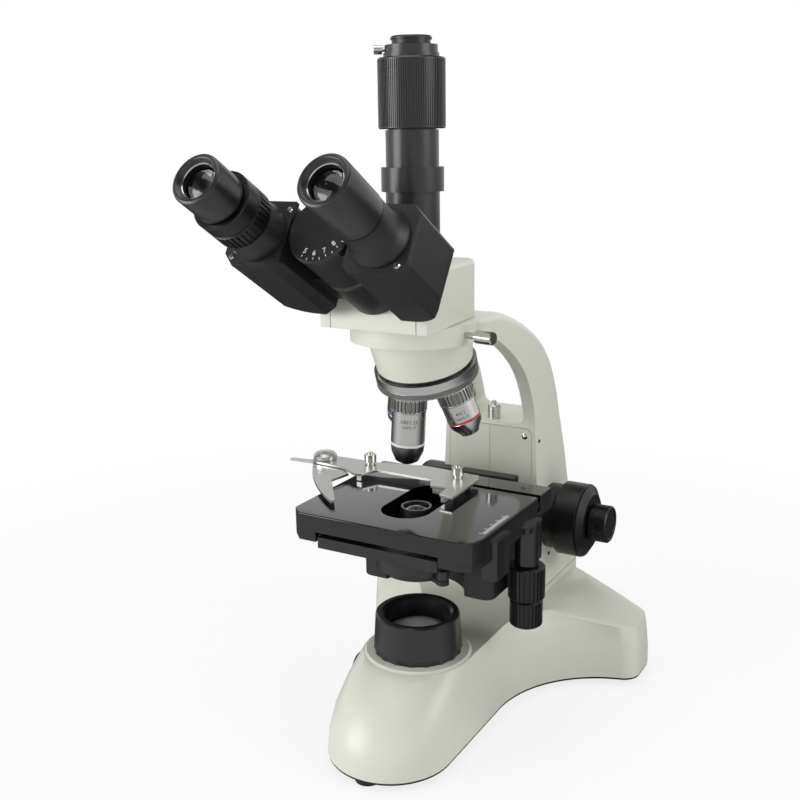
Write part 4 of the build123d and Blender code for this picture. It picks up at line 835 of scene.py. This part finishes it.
class Nosepiece(SubAssembly):
    """Turning nosepiece with its four objectives."""

    tilt_deg: ClassVar[float] = 18.0
    centre: ClassVar[Place] = (0.0, 13.4, 254.4)
    apex: ClassVar[float] = 43.3633
    seat_drop: ClassVar[float] = 62.2
    body_radius: ClassVar[float] = 10.9
    grip_radius: ClassVar[float] = 11.3
    grip_length: ClassVar[float] = 8.0
    turret_radius: ClassVar[float] = 33.0
    knurl_z: ClassVar[tuple[float, float]] = (-10.2, -6.3)
    knurl_teeth: ClassVar[int] = 150
    dress_of = {"nose_bearing": BLACK_POWDER_COAT, "nose_turret": SATIN_CHROME}
    objectives: ClassVar[tuple[Objective, ...]] = (
        Objective("objective_100x", -12.5, 21.5, 1.5, 11.0, 7.5, 4.0, WHITE_ENAMEL, GUNMETAL,
                  ("100/1.25", "160/0.17")),
        Objective("objective_4x", 77.5, 12.0, 1.2, 8.0, 7.0, 6.0, RED_ENAMEL, SATIN_CHROME,
                  ("4/0.1", "160/0.17")),
        Objective("objective_10x", 167.5, 14.0, 1.2, 10.5, 6.5, 5.2, YELLOW_ENAMEL, SATIN_CHROME,
                  ("10/0.25", "160/0.17")),
        Objective("objective_40x", 257.5, 20.0, 1.2, 11.0, 6.5, 4.6, BLUE_ENAMEL, SATIN_CHROME,
                  ("40/0.65", "160/0.17")),
    )

    def axis(self) -> Matrix:
        """Returns the nosepiece's own frame, with Z up along its axis."""
        lean = math.radians(self.tilt_deg)
        return placed(self.centre, (0, -math.sin(lean), math.cos(lean)))

    def seat(self, turn_deg: float) -> Matrix:
        """Returns the frame of one seat, with Z up along its objective.

        Args:
            turn_deg: Where the seat is round the nosepiece.
        """
        return (self.axis() @ Matrix.Translation((0, 0, self.apex))
                @ Matrix.Rotation(math.radians(turn_deg), 4, "Z")
                @ Matrix.Rotation(math.radians(-self.tilt_deg), 4, "X")
                @ Matrix.Translation((0, 0, -self.seat_drop)))

    def build(self) -> None:
        """Makes the knurled band, the four objectives and their rings."""
        self.knurled_band()
        rings = Shape(*(size.ring_finish for size in self.objectives))
        for number, size in enumerate(self.objectives):
            self.objective(size)
            self.ring(rings, number, size)
        rings.piece("magnification_rings", "nosepiece",
                    replaces=("objective_rings",))

    def ring(self, shape: Shape, number: int, size: Objective) -> None:
        """Adds the enamelled ring that tells an objective's power.

        Args:
            shape: The shape of all the rings.
            number: The ring's finish.
            size: The objective's lengths.
        """
        high = -self.grip_length - size.barrel
        low = high - size.ring
        r = self.body_radius - 0.1
        shape.turn(((r - 2, high), (r, high), (r, low), (r - 2, low)), self.seat(size.turn_deg),
                   finishes=(number,) * 4)

    def knurled_band(self) -> None:
        """Makes the fine knurl round the turret as pointed teeth of about 1.3 mm."""
        r = self.turret_radius - 0.15
        low, high = self.knurl_z
        grip = Grip(self.knurl_teeth, 0.35, low + 0.3, high - 0.3, r - 0.3, land=0.3, flank=0.2)
        # The band takes the darker chrome: painted shade between the teeth.
        shape = Shape(SHADED_KNURL_CHROME)
        shape.turn(((r - 1.5, low), (r - 0.2, low), (r + 0.1, low + 0.31), (r + 0.15, high - 0.31),
                    (r - 0.2, high), (r - 1.5, high)), self.axis(), grip=grip)
        shape.piece("nosepiece_knurled_band", "nosepiece")

    def objective(self, size: Objective) -> None:
        """Turns one objective with its grip, ring and cone, and engraves its barrel.

        Args:
            size: Its lengths and marks.
        """
        r, g = self.body_radius, self.grip_radius
        z1 = -self.grip_length
        z2 = z1 - size.barrel
        z3 = z2 - size.ring
        z4 = z3 - size.cone
        place = self.seat(size.turn_deg)
        shape = Shape(SATIN_CHROME, SHADED_KNURL_CHROME, size.cone_finish, PAINTED_SHADE, ENGRAVED_FILL)
        # The grip's ribbed band takes the darker chrome, painted shade between its ribs.
        shape.turn((
            (6, 0), (g - 0.3, 0), (g, -0.3), (g, -0.8), (g, z1 + 0.6), (g, z1 + 0.25),
            (g - 0.25, z1), (6, z1)), place, finishes=(0, 0, 0, 1, 0, 0, 0, 0),
            grip=Grip(26, 0.8, z1 + 0.5, -0.7, 8.0, land=0.42, flank=0.1))
        shape.turn(((6, z1), (r - 0.35, z1), (r - 0.35, z1 - 0.5), (r, z1 - 0.8), (r, z2 + 0.2),
                    (r - 0.2, z2), (6, z2)), place)
        shape.turn(((6, z2), (r - 1.5, z2), (r - 1.5, z3), (6, z3)), place)
        bend = z3 - size.cone * 0.45
        # The recess round the front lens at the tip takes the near-black painted shade.
        shape.turn(((0, z3), (r - 0.1, z3), (r, z3 - 0.2), (r - 0.6, bend), (size.cone_end, z4),
                    (size.tip, z4 - 2), (3.2, z4 - 2), (2.6, z4 - 1.2), (0, z4 - 1.2)), place,
                   finishes=(2,) * 6 + (3, 3, 2))
        self.engrave(shape, place, size, z1)
        shape.piece(size.node + "_turned", "nosepiece",
                    replaces=(size.node,))

    def engrave(self, shape: Shape, place: Matrix, size: Objective, top: float) -> None:
        """Wraps plain figures round the barrel.

        Args:
            shape: The objective's shape.
            place: Its frame.
            size: Its marks.
            top: Height of the barrel's upper end.
        """
        r = self.body_radius + 0.03
        facing = math.radians(-60 - size.turn_deg)
        for line, text in enumerate(size.marks):
            points, faces = lettering(text, 2.4 - 0.5 * line)
            centre = top - 6.0 - 3.4 * line
            bent = [Vector((r * math.cos(facing + p.x / r), r * math.sin(facing + p.x / r),
                            centre + p.y)) for p in points]
            shape.add(bent, faces, place, 4)


class Head(SubAssembly):
    """Head with the prism boxes and the eyepieces."""

    toward_eye: ClassVar[Place] = (0.0, -0.848048, 0.529919)
    hinge: ClassVar[Place] = (0.0, -100.3, 347.0)
    dress_of = {
        "head_body": CREAM_ENAMEL, "head_fittings": GROUND_STEEL, "scale_dial": BLACK_ANODISED,
        "prism_box_left": BLACK_POWDER_COAT, "prism_box_right": BLACK_POWDER_COAT,
        "plate_screws_left": BRIGHT_NICKEL, "plate_screws_right": BRIGHT_NICKEL,
        "eye_tube_left": BLACK_POWDER_COAT, "eye_tube_right": BLACK_POWDER_COAT,
        "eyepiece_left": BLACK_ANODISED, "eyepiece_right": BLACK_ANODISED,
        "eye_lens_left": CROWN_GLASS, "eye_lens_right": CROWN_GLASS, "diopter_ring": BLACK_ABS,
    }

    tube_offset: ClassVar[tuple[float, float]] = (38.0, -3.5)
    band_seam_x: ClassVar[float] = 29.0
    band_z: ClassVar[tuple[float, float]] = (284.5, 294.3)

    def build(self) -> None:
        """Rounds the boxes, and makes the eyepieces, the focus ring and the scale."""
        self.soften("head_body", "head", "cream_paint", 1.0)
        for side in Side:
            body = side.word + "_prism"
            self.soften("prism_box_" + side.word, body, "black_paint", 1.0)
            self.soften("eye_tube_" + side.word, body, "black_anodised", 0.35)
            self.eyepiece(side)
        self.focus_ring()
        self.eye_scale()
        self.band_seams()

    def eye_place(self, side: Side) -> Matrix:
        """Returns the frame of an eyepiece: Z runs towards the eye from the front plate.

        Args:
            side: Which eyepiece.
        """
        x, y = self.tube_offset
        return (placed(self.hinge, self.toward_eye)
                @ Matrix.Translation((side.value * x, y, 0)))

    def eyepiece(self, side: Side) -> None:
        """Turns one eyepiece, with a bright retaining ring deep in its dished front.

        Args:
            side: Which eyepiece.
        """
        low = 25.0 if side is Side.RIGHT else 37.6
        top, r, barrel = 59.0, 14.3, 11.6
        shape = Shape(BLACK_ANODISED, BRIGHT_NICKEL, PAINTED_SHADE)
        # Below the bright ring, the bore takes the near-black painted shade.
        shape.turn((
            (9.5, -14), (barrel, -14), (barrel, low), (r - 0.5, low), (r, low + 0.5),
            (r, top - 1.5), (r - 0.25, top - 0.7), (r - 0.9, top - 0.2), (r - 1.35, top),
            (12.0, top), (11.5, top - 0.3), (10.5, top - 2.2), (10.2, top - 2.4),
            (9.9, top - 2.4), (9.5, top - 2.8), (9.5, top - 8), (8.0, top - 8), (8.0, top - 12),
            (9.5, top - 12)), self.eye_place(side),
            finishes=(0,) * 12 + (1, 1) + (2,) * 5)
        shape.piece("eyepiece_" + side.word + "_turned", side.word + "_eyepiece",
                    replaces=("eyepiece_" + side.word,))

    def focus_ring(self) -> None:
        """Turns the ribbed focus ring of the left eyepiece, with its collar and flange."""
        low, rib_low, rib_high, high, bore, r = 15.0, 16.0, 25.6, 37.0, 13.05, 17.2
        shape = Shape(BLACK_ABS)
        shape.turn((
            (bore, low), (r - 0.9, low), (r - 0.06, low + 0.8), (r, rib_low), (r, rib_high),
            (r - 0.06, 26.0), (r - 1.0, 26.6), (r - 1.0, 27.6), (r - 0.3, 28.0), (r - 0.06, 28.3),
            (r - 0.06, high - 0.6), (r - 0.6, high), (bore, high)), self.eye_place(Side.LEFT),
            grip=Grip(36, 0.75, rib_low - 0.1, rib_high + 0.1, r - 0.03, land=0.55, flank=0.1))
        shape.piece("diopter_ribbed_ring", "diopter", replaces=("diopter_ring",))

    def band_seams(self) -> None:
        """Paints shade along the two fine upright seams of the head's front band, as thin
        near-black strips.
        """
        shape = Shape(PAINTED_SHADE)
        low, high = self.band_z
        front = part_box("head_body")[0].y / MM - OPTICAL_AXIS.y
        for side in Side:
            shape.bar((side.value * self.band_seam_x - 0.12, front - 0.02, low),
                      (0.4, 0.5, high - low), placed((0, 0, 0)))
        shape.piece("head_band_seam_shade", "head")

    def eye_scale(self) -> None:
        """Prints ticks and plain figures round the dial's edge."""
        shape = Shape(WHITE_MARKS)
        place = placed(self.hinge, self.toward_eye)
        for i, figure in enumerate(("5", "6", "7", "8")):
            angle = math.radians(-112 + 26 * i)
            points, faces = lettering(figure, 3.0)
            turn = Matrix.Rotation(angle + math.pi / 2, 4, "Z")
            moved = [turn @ p + Vector((13.6 * math.cos(angle), 13.6 * math.sin(angle), 0.04))
                     for p in points]
            shape.add(moved, faces, place)
            for part in (0, 0.5):
                at = angle + math.radians(26) * part
                tick = place @ Matrix.Rotation(at, 4, "Z")
                shape.bar((16.6 - (0.6 if part == 0 else 0), -0.16, -0.02), (1.4, 0.32, 0.05), tick)
        shape.piece("eye_distance_scale", "head")


class PhotoTube(SubAssembly):
    """Upright tube with the camera adapter."""

    dress_of = {"photo_tube": BLACK_ANODISED, "adapter_focus_ring": BLACK_ANODISED,
                "dust_cap": BLACK_ABS, "adapter_screw": BRIGHT_NICKEL}

    def build(self) -> None:
        """Makes the finely ribbed focusing ring in place of the plain one."""
        lowest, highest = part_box("adapter_focus_ring")
        low, high = lowest.z / MM, highest.z / MM
        r = (highest.x - lowest.x) / MM / 2
        grip = Grip(90, 0.4, low + 1.2, high - 1.2, 19.0, land=0.45, flank=0.1)
        shape = Shape(BLACK_ANODISED)
        shape.turn(((14.55, low), (r - 0.8, low), (r - 0.05, low + 0.7), (r - 0.05, low + 1.18),
                    (r, low + 1.2), (r, high - 1.2), (r - 0.05, high - 1.18),
                    (r - 0.05, high - 0.7), (r - 0.8, high), (14.55, high)),
                   placed((0, 0, 0)), grip=grip)
        shape.piece("camera_focus_ring", "adapter_ring",
                    replaces=("adapter_focus_ring",))


@dataclass(frozen=True)
class SoftBox:
    """One soft lamp of the studio: where it hangs, its side and its power."""

    name: str
    place: Place
    side: float
    watts: float


@dataclass(frozen=True)
class Studio:
    """Pale floor, white backdrop and soft lamps, with the camera where the photograph has it."""

    camera_mm: Place = (321.28, -580.04, 395.33)
    heading_deg: float = 30.167
    pitch_deg: float = 14.193
    roll_deg: float = -0.863
    lens_mm: float = 47.449
    sensor_mm: float = 36.0
    room_light: float = 0.42
    dim_room: float = 0.08
    mirrored_paper: float = 0.65
    black_card: float = 0.08
    lit_side: Place = (0.2, -0.98, 0.0)
    sweep_z: tuple[float, float] = (0.32, 0.62)
    low_sweep: float = 0.85
    paper_m: tuple[float, float] = (0.32, 0.75)
    boxes: tuple[SoftBox, ...] = (
        SoftBox("soft_box_top", (-0.1, -0.2, 1.5), 1.2, 8.0),
        SoftBox("soft_box_left", (-0.95, -1.15, 0.5), 0.9, 11.8),
        SoftBox("soft_box_right", (1.3, 0.1, 0.8), 0.8, 6.0),
    )

    def build(self) -> None:
        """Makes the floor, the surroundings, the lamps and the camera."""
        self.floor()
        self.surroundings()
        self.lamps()
        self.camera()

    def seen_directly(self, tree: bpy.types.NodeTree) -> bpy.types.NodeSocket:
        """Returns 1 for rays from the camera, a mirror or through glass, and else 0.

        Args:
            tree: The node tree that asks.
        """
        path = add_node(tree, "ShaderNodeLightPath")
        mirrored = add_node(tree, "ShaderNodeMath", {"operation": "MAXIMUM"}, {
            0: path.outputs["Is Camera Ray"], 1: path.outputs["Is Glossy Ray"]})
        through = add_node(tree, "ShaderNodeMath", {"operation": "MAXIMUM"}, {
            0: mirrored.outputs["Value"], 1: path.outputs["Is Transmission Ray"]})
        return through.outputs["Value"]

    def floor(self) -> None:
        """Makes a wide pale floor that keeps the object's shadow.

        Bright metal mirrors it as black cards would shade it: pale only on the lit side.
        """
        bpy.ops.mesh.primitive_plane_add(size=8.0, location=(0, 0, 0))
        floor = bpy.context.object
        floor.name = "studio_floor"
        material = bpy.data.materials.new("studio_paper")
        material.use_nodes = True
        tree = material.node_tree
        tree.nodes.clear()
        paper = add_node(tree, "ShaderNodeBsdfDiffuse", {"Color": (0.9, 0.9, 0.9, 1.0)})
        glow = add_node(tree, "ShaderNodeEmission", {"Color": WHITE, "Strength": 1.0})
        place = add_node(tree, "ShaderNodeTexCoord")
        distance = add_node(tree, "ShaderNodeVectorMath", {"operation": "LENGTH"},
                            {0: place.outputs["Object"]})
        near, far = self.paper_m
        fade = add_node(tree, "ShaderNodeMapRange", {
            "interpolation_type": "SMOOTHSTEP", "From Min": near, "From Max": far,
            "To Min": 0.8, "To Max": 1.0}, {"Value": distance.outputs["Value"]})
        share = add_node(tree, "ShaderNodeMath", {"operation": "MULTIPLY"}, {
            0: self.seen_directly(tree), 1: fade.outputs["Result"]})
        shown = add_node(tree, "ShaderNodeMixShader", {}, {
            "Fac": share.outputs["Value"], 1: paper.outputs["BSDF"],
            2: glow.outputs["Emission"]})
        outwards = add_node(tree, "ShaderNodeVectorMath", {"operation": "NORMALIZE"},
                            {0: place.outputs["Object"]})
        towards_light = add_node(tree, "ShaderNodeVectorMath", {
            "operation": "DOT_PRODUCT", 1: self.lit_side}, {0: outwards.outputs["Vector"]})
        card = add_node(tree, "ShaderNodeMapRange", {
            "interpolation_type": "SMOOTHSTEP", "From Min": -0.5, "From Max": 0.5,
            "To Min": self.black_card, "To Max": self.mirrored_paper,
        }, {"Value": towards_light.outputs["Value"]})
        dim = add_node(tree, "ShaderNodeEmission", {"Color": WHITE},
                       {"Strength": card.outputs["Result"]})
        path = add_node(tree, "ShaderNodeLightPath")
        mix = add_node(tree, "ShaderNodeMixShader", {}, {
            "Fac": path.outputs["Is Glossy Ray"], 1: shown.outputs["Shader"],
            2: dim.outputs["Emission"]})
        output = add_node(tree, "ShaderNodeOutputMaterial")
        tree.links.new(mix.outputs["Shader"], output.inputs["Surface"])
        floor.data.materials.append(material)

    def surroundings(self) -> None:
        """Lights the scene softly from all round and shows white behind it.

        A mirroring surface sees the white sweep only low down, and a dim room above it.
        """
        world = bpy.data.worlds.new("studio_surroundings")
        bpy.context.scene.world = world
        world.use_nodes = True
        tree = world.node_tree
        tree.nodes.clear()
        soft = add_node(tree, "ShaderNodeBackground", {
            "Color": WHITE, "Strength": self.room_light})
        white = add_node(tree, "ShaderNodeBackground", {
            "Color": WHITE, "Strength": 1.0})
        place = add_node(tree, "ShaderNodeTexCoord")
        parts = add_node(tree, "ShaderNodeSeparateXYZ", {}, {0: place.outputs["Generated"]})
        sweep = add_node(tree, "ShaderNodeMapRange", {
            "From Min": self.sweep_z[0], "From Max": self.sweep_z[1],
            "To Min": self.low_sweep, "To Max": self.dim_room,
        }, {"Value": parts.outputs["Z"]})
        dim = add_node(tree, "ShaderNodeBackground", {"Color": WHITE},
                       {"Strength": sweep.outputs["Result"]})
        path = add_node(tree, "ShaderNodeLightPath")
        shown = add_node(tree, "ShaderNodeMixShader", {}, {
            "Fac": self.seen_directly(tree), 1: soft.outputs["Background"],
            2: white.outputs["Background"]})
        mix = add_node(tree, "ShaderNodeMixShader", {}, {
            "Fac": path.outputs["Is Glossy Ray"], 1: shown.outputs["Shader"],
            2: dim.outputs["Background"]})
        output = add_node(tree, "ShaderNodeOutputWorld")
        tree.links.new(mix.outputs["Shader"], output.inputs["Surface"])

    def lamps(self) -> None:
        """Hangs the soft boxes, each aimed at the object's middle."""
        middle = Vector((0, 0, 0.22))
        for box in self.boxes:
            lamp = bpy.data.lights.new(box.name, "AREA")
            lamp.energy = box.watts
            lamp.size = box.side
            holder = bpy.data.objects.new(box.name, lamp)
            bpy.context.scene.collection.objects.link(holder)
            holder.location = box.place
            holder.rotation_mode = "QUATERNION"
            holder.rotation_quaternion = (middle - Vector(box.place)).to_track_quat("-Z", "Y")

    def camera(self) -> None:
        """Puts the camera where the photograph was taken from."""
        heading, pitch, roll = (math.radians(v) for v in
                                (self.heading_deg, self.pitch_deg, self.roll_deg))
        forward = Vector((-math.sin(heading) * math.cos(pitch),
                          math.cos(heading) * math.cos(pitch), -math.sin(pitch)))
        level = Vector((math.cos(heading), math.sin(heading), 0))
        upright = level.cross(forward)
        right = math.cos(roll) * level + math.sin(roll) * upright
        up = math.cos(roll) * upright - math.sin(roll) * level
        turn = Matrix((right, up, -forward)).transposed()
        lens = bpy.data.cameras.new("photograph_view")
        lens.lens = self.lens_mm
        lens.sensor_width = self.sensor_mm
        lens.clip_start = 0.01
        camera = bpy.data.objects.new("photograph_view", lens)
        bpy.context.scene.collection.objects.link(camera)
        camera.matrix_world = Matrix.Translation(Vector(self.camera_mm) * MM) @ turn.to_4x4()
        bpy.context.scene.camera = camera


def main() -> None:
    """Dresses and details the microscope, sub-assembly by sub-assembly."""
    logging.basicConfig(level=logging.INFO, format="%(message)s")
    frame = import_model()
    groups = (Stand, Illuminator, Arm, FocusDrive, Stage, SlideCarrier, Condenser, Nosepiece,
              Head, PhotoTube)
    for group in groups:
        built = group(frame["nodes"])
        built.dress()
        built.build()
    Studio().build()
    bpy.context.scene.view_settings.view_transform = "Standard"


if __name__ == "__main__":
    main()
